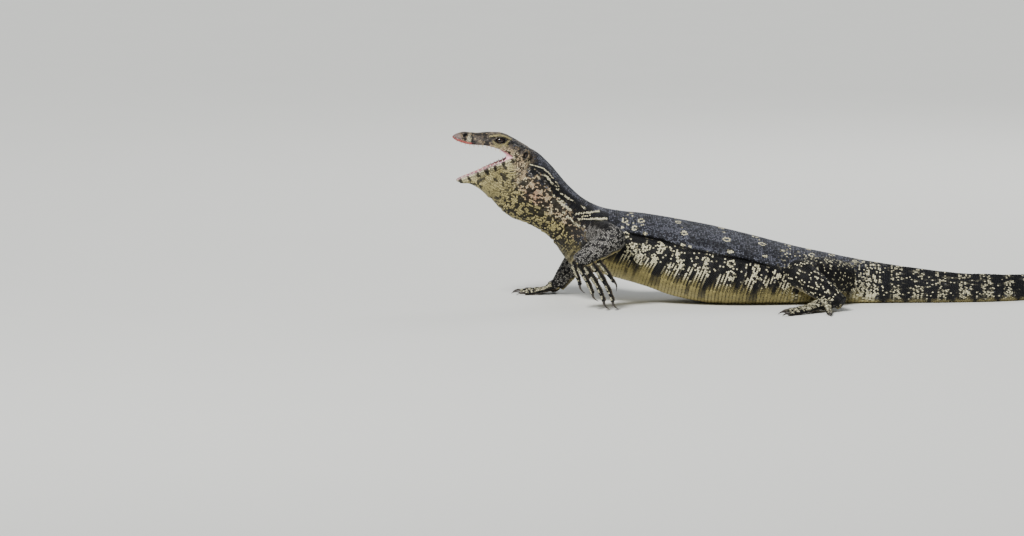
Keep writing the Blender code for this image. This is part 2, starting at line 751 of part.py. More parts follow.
def build_head(parts, scraps):
    point, way = neck_plane()
    trims = [plate("spare_nape", point + way * 0.002, way, 0.30, 0.60, scraps)]
    head = fused("head_whole", head_forms(scraps), HEAD_VOXEL, 5, HEAD_TRIANGLES, trims)
    cutters = mouth_cutters(scraps) + face_cutters(scraps)
    cutters.append(plate("behind_head", point, way, 0.30, 0.60, scraps))
    boolean(head, cutters, "DIFFERENCE")
    boolean(head, teeth(scraps), "UNION")
    boolean(head, [tongue("bed", GAP, scraps)], "DIFFERENCE")
    slope = math.radians(HINGE_SLOPE)
    x, z = HINGE_START
    middle = (x + HINGE_LENGTH / 2 * math.cos(slope), 0, z - HINGE_LENGTH / 2 * math.sin(slope))
    hinge = block("jaw_cut", middle, (HINGE_LENGTH, 0.10, GAP), scraps, HINGE_SLOPE)
    boolean(head, [hinge], "DIFFERENCE")
    pieces = named_pieces(head, {"head": (-0.2400, 0, 0.2640), "lower_jaw": (-0.2350, 0, 0.1850)})
    for piece in pieces.values():
        move_to(piece, parts, SKIN)
    move_to(tongue("tongue", 0.0, scraps), parts, TONGUE)
    for side, name in ((-1, "left_eye"), (1, "right_eye")):
        x, y, z = EYE_CENTRE
        radius = EYE_RADIUS
        move_to(ellipsoid(name, (x, side * y, z), (radius, radius, radius), scraps, segments=16), parts, EYE)


def build_body(parts, scraps):
    point, way = neck_plane()
    trims = [plate("spare_neck", point - way * 0.002, -way, 0.20, 0.30, scraps)]
    body = fused("body_whole", trunk_forms(scraps), BODY_VOXEL, 4, BODY_TRIANGLES, trims)
    ends = [plate("before_neck", point + way * GAP, -way, 0.20, 0.30, scraps), floor_block(scraps)]
    for leg in LEGS:
        place, normal = foot_plane(leg)
        ends.append(plate("foot_space", place - normal * GAP, normal, 0.048, 0.05, scraps))
    boolean(body, ends, "DIFFERENCE")
    slabs = []
    anchors = {"neck": (-0.150, 0, 0.160), "torso_front": (0.0, 0, 0.09), "torso_rear": (0.2, 0, 0.05)}
    for index, share in ((4, 0.45), (9, 0.0)):
        place, along = trunk_plane(index, share)
        slabs.append(plate("trunk_cut", place, along, 0.092, GAP, scraps, corners=32))
    stations = tail_stations()
    for number, index in enumerate((0, 3, 6, 10)):
        here, after = stations[index], stations[index + 1]
        along = Vector((after.x - here.x, after.y - here.y, 0))
        radius = 0.060 if index == 0 else 0.04
        slabs.append(plate("tail_cut", (here.x, here.y, here.z), along, radius, GAP, scraps, corners=32))
        anchors[f"tail_{number + 1}"] = (after.x, after.y, after.z)
    for leg in LEGS:
        root, bend, end = (Vector(p) for p in leg.joints)
        side = math.copysign(1, root.y)
        fore = leg.name.endswith("fore")
        flank = 0.066
        share = (flank - abs(root.y)) / (abs(bend.y) - abs(root.y))
        slabs.append(plate("root_cut", root.lerp(bend, share), (0, side, 0),
                           0.034 if fore else 0.046, GAP, scraps))
        place, normal = bend_plane(leg)
        slabs.append(plate("bend_cut", place, normal, 0.037 if fore else 0.060, GAP, scraps))
        upper, lower, _ = names_of(leg)
        anchors[upper] = root.lerp(bend, (1 + share) / 2)
        anchors[lower] = bend.lerp(end, 0.6)
    boolean(body, slabs, "DIFFERENCE")
    for piece in named_pieces(body, anchors).values():
        move_to(piece, parts, SKIN)


def build_foot(leg, parts, scraps):
    digits = digits_of(leg)
    forms = leg_tube(leg, scraps) + foot_forms(leg, digits, scraps)
    name = names_of(leg)[2]
    end, normal = foot_plane(leg)
    trims = [plate("spare_leg", end - normal * 0.0015, -normal, 0.20, 0.20, scraps)]
    foot = fused("foot_whole", forms, FOOT_VOXEL, 3, FOOT_TRIANGLES, trims)
    cutters = [plate("behind_foot", end, -normal, 0.20, 0.20, scraps), floor_block(scraps)]
    for digit in digits:
        points, way = toe_path(digit)
        cutters.append(plate("toe_end", points[-1], way, digit.radius * 2, 0.02, scraps, corners=16))
    boolean(foot, cutters, "DIFFERENCE")
    for piece in named_pieces(foot, {name: end.lerp(Vector(digits[2].root), 0.5)}).values():
        move_to(piece, parts, SKIN)
    for number, digit in enumerate(digits):
        move_to(claw(f"{name}_claw_{number + 1}", digit, scraps), parts, HORN)


MATERIALS = {}


def move_to(obj, collection, finish):
    name, colour, roughness = finish
    if name not in MATERIALS:
        MATERIALS[name] = make_material(name, colour, roughness)
    for old in list(obj.users_collection):
        old.objects.unlink(obj)
    collection.objects.link(obj)
    obj.data.materials.clear()
    obj.data.materials.append(MATERIALS[name])
    activate(obj)
    bpy.ops.object.shade_smooth()


def centre_on_box(collection):
    """Moves every part so that the bounding box's middle stands over the origin."""
    low, high = Vector((9, 9, 9)), Vector((-9, -9, -9))
    for part in collection.objects:
        for vertex in part.data.vertices:
            low = Vector(map(min, low, vertex.co))
            high = Vector(map(max, high, vertex.co))
    shift = Vector((-(low.x + high.x) / 2, -(low.y + high.y) / 2, 0))
    for part in collection.objects:
        part.data.transform(Matrix.Translation(shift))
    print("moved by", tuple(round(v, 5) for v in shift), "low", tuple(low), "high", tuple(high))


def main():
    clear_scene()
    parts, scraps = new_collection("water_monitor"), new_collection("workshop")
    build_head(parts, scraps)
    build_body(parts, scraps)
    for leg in LEGS:
        build_foot(leg, parts, scraps)
    for left in list(scraps.objects):
        bpy.data.objects.remove(left)
    centre_on_box(parts)


main()
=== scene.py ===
"""Dresses the water monitor lizard: skin, scales, eyes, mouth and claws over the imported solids.

Metres. +X runs from head to tail, +Y to the animal's right, +Z up, and the floor is z = 0.
Working sizes have an origin of their own; the shift found from the eyes' solids takes them to the frame.
"""

import logging
import math
from dataclasses import dataclass, field, fields
from enum import Enum

import bmesh
import bpy
import numpy as np
from mathutils import Matrix, Vector
from mathutils.bvhtree import BVHTree
from mathutils.kdtree import KDTree

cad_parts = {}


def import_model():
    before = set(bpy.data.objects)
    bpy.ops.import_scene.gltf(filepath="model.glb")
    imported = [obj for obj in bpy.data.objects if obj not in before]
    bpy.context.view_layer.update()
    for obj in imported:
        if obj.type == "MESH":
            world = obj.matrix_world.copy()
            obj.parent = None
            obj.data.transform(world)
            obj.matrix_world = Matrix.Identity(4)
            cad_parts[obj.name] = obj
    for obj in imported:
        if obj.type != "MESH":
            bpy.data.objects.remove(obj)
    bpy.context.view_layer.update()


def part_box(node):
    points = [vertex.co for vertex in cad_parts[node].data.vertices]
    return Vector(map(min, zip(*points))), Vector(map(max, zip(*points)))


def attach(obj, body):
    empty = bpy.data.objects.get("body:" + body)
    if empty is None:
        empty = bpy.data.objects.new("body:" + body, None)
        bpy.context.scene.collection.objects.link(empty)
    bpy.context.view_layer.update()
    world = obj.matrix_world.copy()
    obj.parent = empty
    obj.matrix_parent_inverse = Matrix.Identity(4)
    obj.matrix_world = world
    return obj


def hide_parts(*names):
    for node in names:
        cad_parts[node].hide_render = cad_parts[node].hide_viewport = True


log = logging.getLogger("water_monitor")

Colour = tuple[float, float, float]
Point = tuple[float, float, float]


# Shared helpers


def shade(red: int, green: int, blue: int) -> Colour:
    """The linear colour of a screen colour whose channels run from 0 to 255."""
    return tuple(((c / 255 + 0.055) / 1.055) ** 2.4 if c > 10 else c / 3294 for c in (red, green, blue))


def smoothstep(low: float, high: float, value: np.ndarray) -> np.ndarray:
    """Rises from 0 at low to 1 at high."""
    t = np.clip((value - low) / (high - low), 0, 1)
    return t * t * (3 - 2 * t)


def bump(value: np.ndarray, centre: np.ndarray, width: float) -> np.ndarray:
    """A round swelling of height 1 about the centre."""
    return np.exp(-(((value - centre) / width) ** 2))


def mixed(base: Colour | np.ndarray, colour: Colour | np.ndarray, share: np.ndarray) -> np.ndarray:
    """Lays a colour over others.

    Args:
        base: one linear colour for all places, or one for each.
        colour: what is laid on, given the same way.
        share: how much of it shows at each place, from 0 to 1.

    Returns:
        The new colours.
    """
    share = np.clip(share, 0, 1)[:, None]
    return np.asarray(base) * (1 - share) + np.asarray(colour) * share


def disc(away: np.ndarray, radius: np.ndarray, edge: float = 0.0004) -> np.ndarray:
    """1 nearer than the radius and 0 further off, with a soft edge."""
    return smoothstep(radius + edge, radius - edge, away)


class Noise:
    """Smooth blotches in space, the same on every run."""

    def __init__(self, seed: int) -> None:
        """Draws the lattice values from the seed."""
        self.table = np.random.default_rng(seed).random(8192)

    def at(self, points: np.ndarray, size: float) -> np.ndarray:
        """Reads the blotches.

        Args:
            points: places, in metres.
            size: how far apart neighbouring blotches lie.

        Returns:
            A value from 0 to 1 for each place.
        """
        scaled = np.asarray(points, float) / size
        base = np.floor(scaled).astype(np.int64)
        part = scaled - base
        part = part * part * (3 - 2 * part)
        total = np.zeros(len(scaled))
        for corner in np.ndindex(2, 2, 2):
            cell = base + np.array(corner)
            key = (cell[:, 0] * 73856093) ^ (cell[:, 1] * 19349663) ^ (cell[:, 2] * 83492791)
            weight = np.prod(np.where(np.array(corner) == 1, part, 1 - part), axis=1)
            total += self.table[np.abs(key) % 8192] * weight
        return total


def smooth_rows(rows: np.ndarray, steps: int) -> np.ndarray:
    """Rows between the given ones, read from a smooth curve.

    Args:
        rows: one row for each station, its centre in the first three places.
        steps: how many rows to return.

    Returns:
        The rows, evenly spaced along their centres.
    """
    rows = np.array(rows, float)
    along = np.concatenate([[0], np.cumsum(np.linalg.norm(np.diff(rows[:, :3], axis=0), axis=1))])
    slopes = np.gradient(rows, along, axis=0)
    place = np.linspace(0, along[-1], steps)
    k = np.clip(np.searchsorted(along, place, side="right") - 1, 0, len(rows) - 2)
    span = (along[k + 1] - along[k])[:, None]
    t = (place[:, None] - along[k][:, None]) / span
    start = (1 + 2 * t) * (1 - t) ** 2 * rows[k] + t * (1 - t) ** 2 * span * slopes[k]
    end = t * t * (3 - 2 * t) * rows[k + 1] + t * t * (t - 1) * span * slopes[k + 1]
    return start + end


def unit(vectors: np.ndarray) -> np.ndarray:
    """The vectors at length 1."""
    return vectors / np.maximum(np.linalg.norm(vectors, axis=-1, keepdims=True), 1e-12)


def between_rows(at: np.ndarray, along: np.ndarray, rows: np.ndarray) -> np.ndarray:
    """Rows read between the given ones, at each distance along them."""
    return np.stack([np.interp(at, along, column) for column in rows.T], axis=-1)


# The body's form


@dataclass(frozen=True)
class Station:
    """A cross-section: its centre, the lean of its top towards the tail, and its half sizes."""

    x: float
    y: float
    z: float
    lean: float
    half_width: float
    up: float
    down: float
    sag: float = 0.0
    belly: float = 1.0


@dataclass(frozen=True)
class Digit:
    """A toe: where it leaves the foot, the way it starts and ends, its length and root radius."""

    root: Point
    start: Point
    end: Point
    length: float
    radius: float


class LimbKind(Enum):
    """Which pair of limbs a limb belongs to, with the names of its parts."""

    FORE = ("upper_arm", "forearm", "hand")
    HIND = ("thigh", "shank", "foot")


@dataclass(frozen=True)
class Limb:
    """A limb: its side, joints, radii, and its toes, planted or hanging."""

    side: str
    kind: LimbKind
    joints: tuple[Point, Point, Point]
    radii: tuple[float, float, float, float, float]
    heading: float
    toes: tuple[tuple[float, float, float], ...]
    toe_radius: float
    sole: float
    hanging: tuple[Digit, ...] = ()

    @property
    def name(self) -> str:
        """Side and pair in one word."""
        return f"{self.side}_{'fore' if self.kind is LimbKind.FORE else 'hind'}"

    def nodes(self) -> list[str]:
        """Names of the solids of this limb, without its claws."""
        return [f"{self.side}_{part}" for part in self.kind.value]


def round_station(
    x: float, y: float, z: float, lean: float, half_width: float, half_depth: float, *shape: float
) -> Station:
    """A station that reaches as far up as down; shape may give its sag and belly."""
    return Station(x, y, z, lean, half_width, half_depth, half_depth, *shape)


TRUNK = tuple(round_station(*row) for row in (
    (-0.2200, 0.000, 0.2165, 34.5, 0.0275, 0.0470),
    (-0.1998, 0.000, 0.2009, 37.1, 0.0365, 0.0528),
    (-0.1757, 0.000, 0.1797, 36.9, 0.0415, 0.0525),
    (-0.1465, 0.000, 0.1585, 36.9, 0.0400, 0.0440),
    (-0.1192, 0.000, 0.1368, 37.5, 0.0405, 0.0410),
    (-0.0848, 0.000, 0.1056, 24.0, 0.0490, 0.0523, 0.04, 0.95),
    (-0.0455, 0.002, 0.0959, 14.8, 0.0570, 0.0529, 0.06, 0.90),
    (0.0016, 0.003, 0.0864, 6.5, 0.0650, 0.0564, 0.09, 0.85),
    (0.0528, 0.002, 0.0732, 3.0, 0.0720, 0.0613, 0.11, 0.80),
    (0.1024, 0.000, 0.0632, 1.5, 0.0760, 0.0625, 0.12, 0.76),
    (0.1600, -0.003, 0.0550, 0.0, 0.0750, 0.0578, 0.12, 0.74),
    (0.2080, -0.004, 0.0492, 0.0, 0.0670, 0.0516, 0.11, 0.74),
    (0.2560, -0.003, 0.0434, 0.0, 0.0570, 0.0454, 0.10, 0.76),
    (0.3040, -0.001, 0.0384, 0.0, 0.0460, 0.0400, 0.08, 0.80),
))
TAIL_LENGTH, TAIL_BASE, TAIL_SWING, TAIL_TURNS, TAIL_STRAIGHT = 1.04, 0.352, 38.0, 0.9, 0.12
TAIL_SIZES = (
    (0.000, 0.0370, 0.0352), (0.046, 0.0300, 0.0310), (0.095, 0.0245, 0.0272),
    (0.150, 0.0200, 0.0240), (0.205, 0.0170, 0.0219), (0.265, 0.0150, 0.0207),
    (0.400, 0.0118, 0.0178), (0.550, 0.0090, 0.0146), (0.700, 0.0066, 0.0112),
    (0.850, 0.0046, 0.0071), (0.950, 0.0034, 0.0043), (1.000, 0.0024, 0.0027),
)
UPPER_HEAD = tuple(Station(*row) for row in (
    (-0.3000, 0, 0.2655, 0, 0.0030, 0.0012, 0.0016, 0.05, 0.7),
    (-0.2965, 0, 0.2645, 0, 0.0090, 0.0050, 0.0034, 0.10, 0.6),
    (-0.2900, 0, 0.2635, 0, 0.0135, 0.0086, 0.0055, 0.12, 0.5),
    (-0.2816, 0, 0.2620, 0, 0.0160, 0.0116, 0.0068, 0.14, 0.5),
    (-0.2720, 0, 0.2605, 0, 0.0175, 0.0124, 0.0074, 0.16, 0.5),
    (-0.2592, 0, 0.2600, 0, 0.0195, 0.0122, 0.0076, 0.18, 0.5),
    (-0.2464, 0, 0.2600, 0, 0.0222, 0.0134, 0.0086, 0.18, 0.5),
    (-0.2336, 0, 0.2580, 0, 0.0252, 0.0152, 0.0095, 0.18, 0.5),
    (-0.2240, 0, 0.2550, 0, 0.0276, 0.0178, 0.0098, 0.16, 0.5),
    (-0.2144, 0, 0.2510, 0, 0.0296, 0.0186, 0.0106, 0.14, 0.6),
    (-0.2032, 0, 0.2450, 0, 0.0312, 0.0190, 0.0120, 0.12, 0.8),
    (-0.1920, 0, 0.2380, 0, 0.0322, 0.0196, 0.0200, 0.08, 0.9),
    (-0.1790, 0, 0.2280, 0, 0.0330, 0.0218, 0.0280, 0.04, 1.0),
))
LOWER_JAW = (
    (-0.0160, 0.0300, 0.0000, 0.0200), (0.0000, 0.0300, 0.0000, 0.0190),
    (0.0120, 0.0286, 0.0002, 0.0175), (0.0280, 0.0256, 0.0012, 0.0160),
    (0.0530, 0.0206, 0.0002, 0.0148), (0.0740, 0.0158, 0.0002, 0.0140),
    (0.0880, 0.0112, 0.0008, 0.0110), (0.0955, 0.0066, 0.0008, 0.0068),
    (0.0985, 0.0024, 0.0000, 0.0022),
)
THROAT = tuple(Station(*row) for row in (
    (-0.2845, 0, 0.1955, 27, 0.0100, 0.0040, 0.0036),
    (-0.2690, 0, 0.1960, 26, 0.0150, 0.0110, 0.0068),
    (-0.2550, 0, 0.1945, 25, 0.0200, 0.0220, 0.0118),
    (-0.2410, 0, 0.1950, 24, 0.0255, 0.0290, 0.0212),
    (-0.2270, 0, 0.1980, 29, 0.0310, 0.0310, 0.0335),
    (-0.2110, 0, 0.2050, 34, 0.0347, 0.0400, 0.0470),
    (-0.1998, 0, 0.2009, 37, 0.0365, 0.0528, 0.0528),
))
EYE_RADIUS, EYE_CENTRE = 0.0075, (-0.2235, 0.0186, 0.2603)
# middle of the opening between the lids, seen from the side
LIDS_X, LIDS_Z, LIDS_TILT = EYE_CENTRE[0] + 0.0006, EYE_CENTRE[2] + 0.0010, 8.0
# middles of the ear and of the nostril, seen from the side
EAR_X, EAR_Z, NOSTRIL_X, NOSTRIL_Z = -0.1832, 0.2385, -0.2790, 0.2690
MOUTH_CORNER, JAW_DROP = (-0.203, 0.2344), 22.4
LIP_STATIONS = 11  # of UPPER_HEAD, as far back as the mouth's corner
FOLD_FROM, FOLD_TO = -0.030, 0.225
FOLD_ANGLES = ((-0.016, 62.0), (0.100, 60.0), (0.200, 70.0))
WRIST_SPREAD, TOE_TAPER, CLAW_LENGTH, CLAW_ROOT, GAP = 0.32, 0.68, 0.0155, 0.70, 0.0003

FORE_TOES = ((-34, 0.034, -0.013), (-14, 0.044, -0.007), (4, 0.050, 0.000),
             (24, 0.049, 0.007), (56, 0.036, 0.012))
HIND_TOES = ((-30, 0.028, -0.014), (-15, 0.040, -0.008), (-2, 0.054, -0.001),
             (13, 0.066, 0.007), (62, 0.040, 0.014))
LIFTED_HAND = (
    Digit((-0.1072, -0.1140, 0.0700), (0.40, -0.06, -0.90), (0.24, 0.02, -0.97), 0.031, 0.0048),
    Digit((-0.0965, -0.1200, 0.0650), (0.56, -0.10, -0.82), (0.34, 0.00, -0.94), 0.042, 0.0052),
    Digit((-0.0850, -0.1230, 0.0640), (0.62, -0.12, -0.78), (0.30, 0.00, -0.95), 0.0552, 0.0053),
    Digit((-0.0745, -0.1210, 0.0690), (0.64, -0.10, -0.76), (0.30, 0.00, -0.95), 0.0615, 0.0053),
    Digit((-0.0680, -0.1160, 0.0775), (0.68, -0.08, -0.72), (0.50, 0.00, -0.86), 0.040, 0.0048),
)
LIMBS = (
    Limb("left", LimbKind.FORE,
         ((-0.066, -0.032, 0.112), (-0.046, -0.105, 0.111), (-0.090, -0.117, 0.084)),
         (0.0250, 0.0230, 0.0212, 0.0195, 0.0142), 0, (), 0.0050, 0.0, LIFTED_HAND),
    Limb("right", LimbKind.FORE,
         ((-0.066, 0.032, 0.108), (-0.084, 0.106, 0.080), (-0.123, 0.108, 0.026)),
         (0.0250, 0.0225, 0.0205, 0.0190, 0.0140), 22, FORE_TOES, 0.0050, 0.024),
    Limb("left", LimbKind.HIND,
         ((0.324, -0.018, 0.040), (0.252, -0.105, 0.056), (0.306, -0.134, 0.020)),
         (0.0270, 0.0310, 0.0240, 0.0205, 0.0135), 30, HIND_TOES, 0.0054, 0.036),
    Limb("right", LimbKind.HIND,
         ((0.324, 0.018, 0.036), (0.272, 0.110, 0.046), (0.334, 0.134, 0.020)),
         (0.0250, 0.0270, 0.0230, 0.0200, 0.0135), 26, HIND_TOES, 0.0054, 0.036),
)


def jaw_point(along: float, above: float, side: float = 0.0) -> Point:
    """A point given along the lower jaw from the mouth's corner, above its lip and to one side."""
    drop = math.radians(JAW_DROP)
    return (
        MOUTH_CORNER[0] - along * math.cos(drop) - above * math.sin(drop),
        side,
        MOUTH_CORNER[1] - along * math.sin(drop) + above * math.cos(drop),
    )


def about_jaw(x: np.ndarray, z: np.ndarray) -> tuple[np.ndarray, np.ndarray]:
    """How far along the lower jaw from the mouth's corner places lie, and how far above its lip."""
    drop = math.radians(JAW_DROP)
    back, rise = x - MOUTH_CORNER[0], z - MOUTH_CORNER[1]
    return -back * math.cos(drop) - rise * math.sin(drop), rise * math.cos(drop) - back * math.sin(drop)


def jaw_half(ahead: np.ndarray) -> np.ndarray:
    """Half width of the lower jaw at each distance along it."""
    return np.interp(ahead, *zip(*(row[:2] for row in LOWER_JAW)))


def upper_lip(x: np.ndarray) -> tuple[np.ndarray, np.ndarray]:
    """Height of the upper lip's edge, and the head's half width there."""
    xs, lows, halves = zip(*((s.x, s.z - s.down, s.half_width) for s in UPPER_HEAD[:LIP_STATIONS]))
    return np.interp(x, xs, lows), np.interp(x, xs, halves)


# middle, half sizes and tilt of the palate's hollow, the jaw's and the one between them
MOUTH_HOLLOWS = (
    ((-0.2450, 0.0, 0.2478), (0.0440, 0.0145, 0.0062), 5.0),
    (jaw_point(0.046, 0.0050), (0.0480, 0.0150, 0.0120), -JAW_DROP),
    ((-0.2185, 0.0, 0.2333), (0.0290, 0.0235, 0.0110), -3.0),
)


def tail_stations() -> list[Station]:
    """Stations from the vent to the tail's tip, along a path that turns to one side and back."""
    shares, widths, depths = (np.array(c) for c in zip(*TAIL_SIZES))
    made = []
    steps = 60
    x, y = TAIL_BASE, 0.0
    for k in range(steps + 1):
        share = k / steps
        if k % 4 == 0:
            depth = float(np.interp(share, shares, depths))
            width = float(np.interp(share, shares, widths))
            made.append(round_station(x, y, depth * 0.955, 0.0, width, depth, 0.12, 0.85))
        wave = max(0.0, share - TAIL_STRAIGHT)
        turn = math.radians(TAIL_SWING) * math.sin(2 * math.pi * TAIL_TURNS * wave)
        x += TAIL_LENGTH / steps * math.cos(turn)
        y += TAIL_LENGTH / steps * math.sin(turn)
    return made


def outline(width: float, up: float, down: float, sag: float, belly: float, count: int) -> tuple:
    """Side, rise and angle of the points round a cross-section, from the top."""
    angles = np.linspace(0, 2 * math.pi, count, endpoint=False)
    turn, height = np.sin(angles), np.cos(angles)
    side = width * turn * (1 - sag * height)
    low = -np.abs(np.minimum(height, 0)) ** belly
    rise = np.where(height > 0, up * height, down * low)
    return side, rise, angles


class Rings:
    """Rings of points that a closed form is lofted over."""

    def __init__(self, rings: list[np.ndarray]) -> None:
        """Keeps the rings, each with as many points as the others."""
        self.rings = np.array(rings, float)

    @classmethod
    def over_stations(cls, stations: list[Station], steps: int, count: int, trunk: bool = False) -> "Rings":
        """Rings that stand upright across a path, each with its own lean.

        Args:
            stations: the sections.
            steps: how many rings.
            count: points a ring.
            trunk: whether the flank's fold and the tail's keel are added.

        Returns:
            The rings.
        """
        rows = smooth_rows(
            [(s.x, s.y, s.z, s.lean, s.half_width, s.up, s.down, s.sag, s.belly) for s in stations], steps
        )
        heading = unit(np.gradient(rows[:, :2], axis=0))
        rings = []
        for row, (hx, hy) in zip(rows, heading):
            side, rise, angles = outline(*row[4:9], count)
            if trunk:
                side, rise = cls.shaped_trunk(row[0], side, rise, angles)
            lean = math.radians(row[3])
            across = np.array((-hy, hx, 0.0))
            upward = np.array((hx * math.sin(lean), hy * math.sin(lean), math.cos(lean)))
            rings.append(row[:3] + side[:, None] * across + rise[:, None] * upward)
        return cls(rings)

    @staticmethod
    def shaped_trunk(x: float, side: np.ndarray, rise: np.ndarray, angles: np.ndarray) -> tuple:
        """Adds the flank's fold to the trunk, and narrows the tail towards its keel."""
        if x > TAIL_BASE:
            share = min(1.0, (x - TAIL_BASE) / 0.10)
            return side * (1 - share * 0.35 * np.maximum(np.cos(angles), 0) ** 1.5), rise
        ramp = min(1.0, max(0.0, (x - FOLD_FROM) / 0.04)) * min(1.0, max(0.0, (FOLD_TO - x) / 0.05))
        down = np.degrees(np.minimum(angles, 2 * math.pi - angles))
        place = np.interp(x, *zip(*FOLD_ANGLES))
        swell = 0.0022 * bump(down, place - 11.0, 7.0) - 0.0052 * bump(down, place, 5.0)
        scale = 1 + ramp * swell / np.hypot(side, rise)
        return side * scale, rise * scale

    @classmethod
    def along_jaw(cls, steps: int, count: int) -> "Rings":
        """Rings of the lower jaw, flat on top and keeled below."""
        rows = smooth_rows([(along, 0, 0, w, up, down) for along, w, up, down in LOWER_JAW], steps)
        rings = []
        for along, _, _, width, up, down in rows:
            side, rise, _ = outline(width, up + 0.0004, down, 0.0, 0.8, count)
            rim = np.abs(side) ** 0.85 * width**0.15 * np.sign(side)
            rings.append([jaw_point(along, v, s) for s, v in zip(rim, rise)])
        return cls(rings)

    @classmethod
    def tube(
        cls, points: list, radii: list, count: int = 20, steps: int = 24, flat: float = 1.0
    ) -> "Rings":
        """A round form along a path.

        Args:
            points: the path.
            radii: the radius at each point.
            count: points a ring.
            steps: how many rings.
            flat: height over width of each ring.

        Returns:
            The rings.
        """
        rows = smooth_rows([(*p, r) for p, r in zip(points, radii)], steps)
        ways = unit(np.gradient(rows[:, :3], axis=0))
        first = Vector(ways[0])
        across = first.cross(Vector((0, 0, 1))) if abs(first.z) < 0.9 else first.orthogonal()
        turn = np.linspace(0, 2 * math.pi, count, endpoint=False)
        rings = []
        for row, way in zip(rows, ways):
            way = Vector(way)
            across = (across - across.dot(way) * way).normalized()
            upward = np.array(across.cross(way))
            ring = np.cos(turn)[:, None] * np.array(across) + flat * np.sin(turn)[:, None] * upward
            rings.append(row[:3] + ring * row[3])
        return cls(rings)

    def shell(self) -> tuple[np.ndarray, list[tuple[int, ...]]]:
        """Points and faces of the closed form, with a face at each end."""
        rows, count = self.rings.shape[:2]
        faces = []
        for k in range(rows - 1):
            for j in range(count):
                after = (j + 1) % count
                near, far = k * count, (k + 1) * count
                faces.append((near + j, near + after, far + after, far + j))
        faces.append(tuple(range(count - 1, -1, -1)))
        faces.append(tuple(range((rows - 1) * count, rows * count)))
        return self.rings.reshape(-1, 3), faces


def middle_of(digits: list[Digit]) -> Vector:
    """The middle of the toes' roots."""
    return sum((Vector(d.root) for d in digits), Vector()) / len(digits)


def bent_path(digit: Digit, steps: int = 9) -> list[Vector]:
    """Points along a toe that turns evenly from its first direction to its last."""
    start, end = Vector(digit.start).normalized(), Vector(digit.end).normalized()
    points = [Vector(digit.root)]
    for k in range(steps - 1):
        way = start.lerp(end, (k + 0.5) / (steps - 1)).normalized()
        points.append(points[-1] + way * digit.length / (steps - 1))
    return points


def digits_of(limb: Limb) -> list[Digit]:
    """The toes of a limb: those given in full, or those of a foot that stands on the floor."""
    if limb.hanging:
        return list(limb.hanging)
    side = math.copysign(1, limb.joints[2][1])
    wrist = Vector(limb.joints[2])
    heading = math.radians(limb.heading)
    forward = Vector((-math.cos(heading), side * math.sin(heading), 0))
    outward = Vector((math.sin(heading), side * math.cos(heading), 0))
    digits = []
    for turn, length, out in limb.toes:
        root = Vector((wrist.x, wrist.y, 0)) + forward * limb.sole + outward * out
        if abs(turn) > 45:
            root -= forward * limb.sole * 0.35
        root.z = limb.toe_radius + 0.0042
        way = math.radians(turn)
        ahead = forward * math.cos(way) + outward * math.sin(way)
        fall = (limb.toe_radius * TOE_TAPER - 0.0006 - root.z) / length
        start = Vector((*ahead.xy, fall * 1.7))
        end = Vector((*ahead.xy, fall * 0.3))
        digits.append(Digit(tuple(root), tuple(start), tuple(end), length, limb.toe_radius))
    return digits


class Path:
    """A line through a part of the body, with its half width and half depth along it."""

    def __init__(
        self, points: np.ndarray, widths: np.ndarray, depths: np.ndarray, step: float, top: Point = (0, 0, 1)
    ) -> None:
        """Resamples the line and frames it.

        Args:
            points: places along the line.
            widths: half width at each.
            depths: half depth at each.
            step: spacing of the samples that are kept.
            top: the way that its ridge faces.
        """
        rows = np.column_stack([points, widths, depths])
        length = float(np.linalg.norm(np.diff(rows[:, :3], axis=0), axis=1).sum())
        rows = smooth_rows(rows, max(4, int(length / step) + 1))
        self.centres, self.widths, self.depths = rows[:, :3], rows[:, 3], rows[:, 4]
        self.ways = unit(np.gradient(self.centres, axis=0))
        self.across = unit(np.cross(self.ways, np.array(top, float)))
        self.upward = np.cross(self.across, self.ways)
        steps = np.linalg.norm(np.diff(self.centres, axis=0), axis=1)
        self.along = np.concatenate([[0], np.cumsum(steps)])

    def locate(self, points: np.ndarray) -> tuple[np.ndarray, np.ndarray, np.ndarray]:
        """Where points lie about the line.

        Args:
            points: places in space.

        Returns:
            Distance along the line, angle from its ridge in degrees (plus towards the animal's
            left), and how far outside the form's own radius each lies, in metres.
        """
        along, angle, reach = (np.empty(len(points)) for _ in range(3))
        for low in range(0, len(points), 20000):
            part = slice(low, low + 20000)
            here = points[part]
            square = (self.centres**2).sum(1) - 2 * here @ self.centres.T
            k = square.argmin(1)
            offset = here - self.centres[k]
            along[part] = self.along[k] + (offset * self.ways[k]).sum(1)
            side = (offset * self.across[k]).sum(1)
            rise = (offset * self.upward[k]).sum(1)
            turn = np.arctan2(side, rise)
            angle[part] = np.degrees(turn)
            radius = 1 / np.sqrt((np.sin(turn) / self.widths[k]) ** 2 + (np.cos(turn) / self.depths[k]) ** 2)
            off = np.maximum(np.abs((offset * self.ways[k]).sum(1)) - 0.003, 0)
            reach[part] = np.hypot(np.hypot(side, rise) - radius, off)
            reach[part] *= np.sign(np.hypot(side, rise) - radius + off)
        return along, angle, reach


# Mesh making


def activate(obj: bpy.types.Object) -> None:
    """Selects this object alone and makes it the active one."""
    for other in list(bpy.context.selected_objects):
        other.select_set(False)
    obj.select_set(True)
    bpy.context.view_layer.objects.active = obj


def mesh_object(name: str, points: np.ndarray, faces: list) -> bpy.types.Object:
    """A new object in the scene from points and faces."""
    mesh = bpy.data.meshes.new(name)
    mesh.from_pydata(np.asarray(points, float).tolist(), [], faces)
    made = bpy.data.objects.new(name, mesh)
    bpy.context.scene.collection.objects.link(made)
    return made


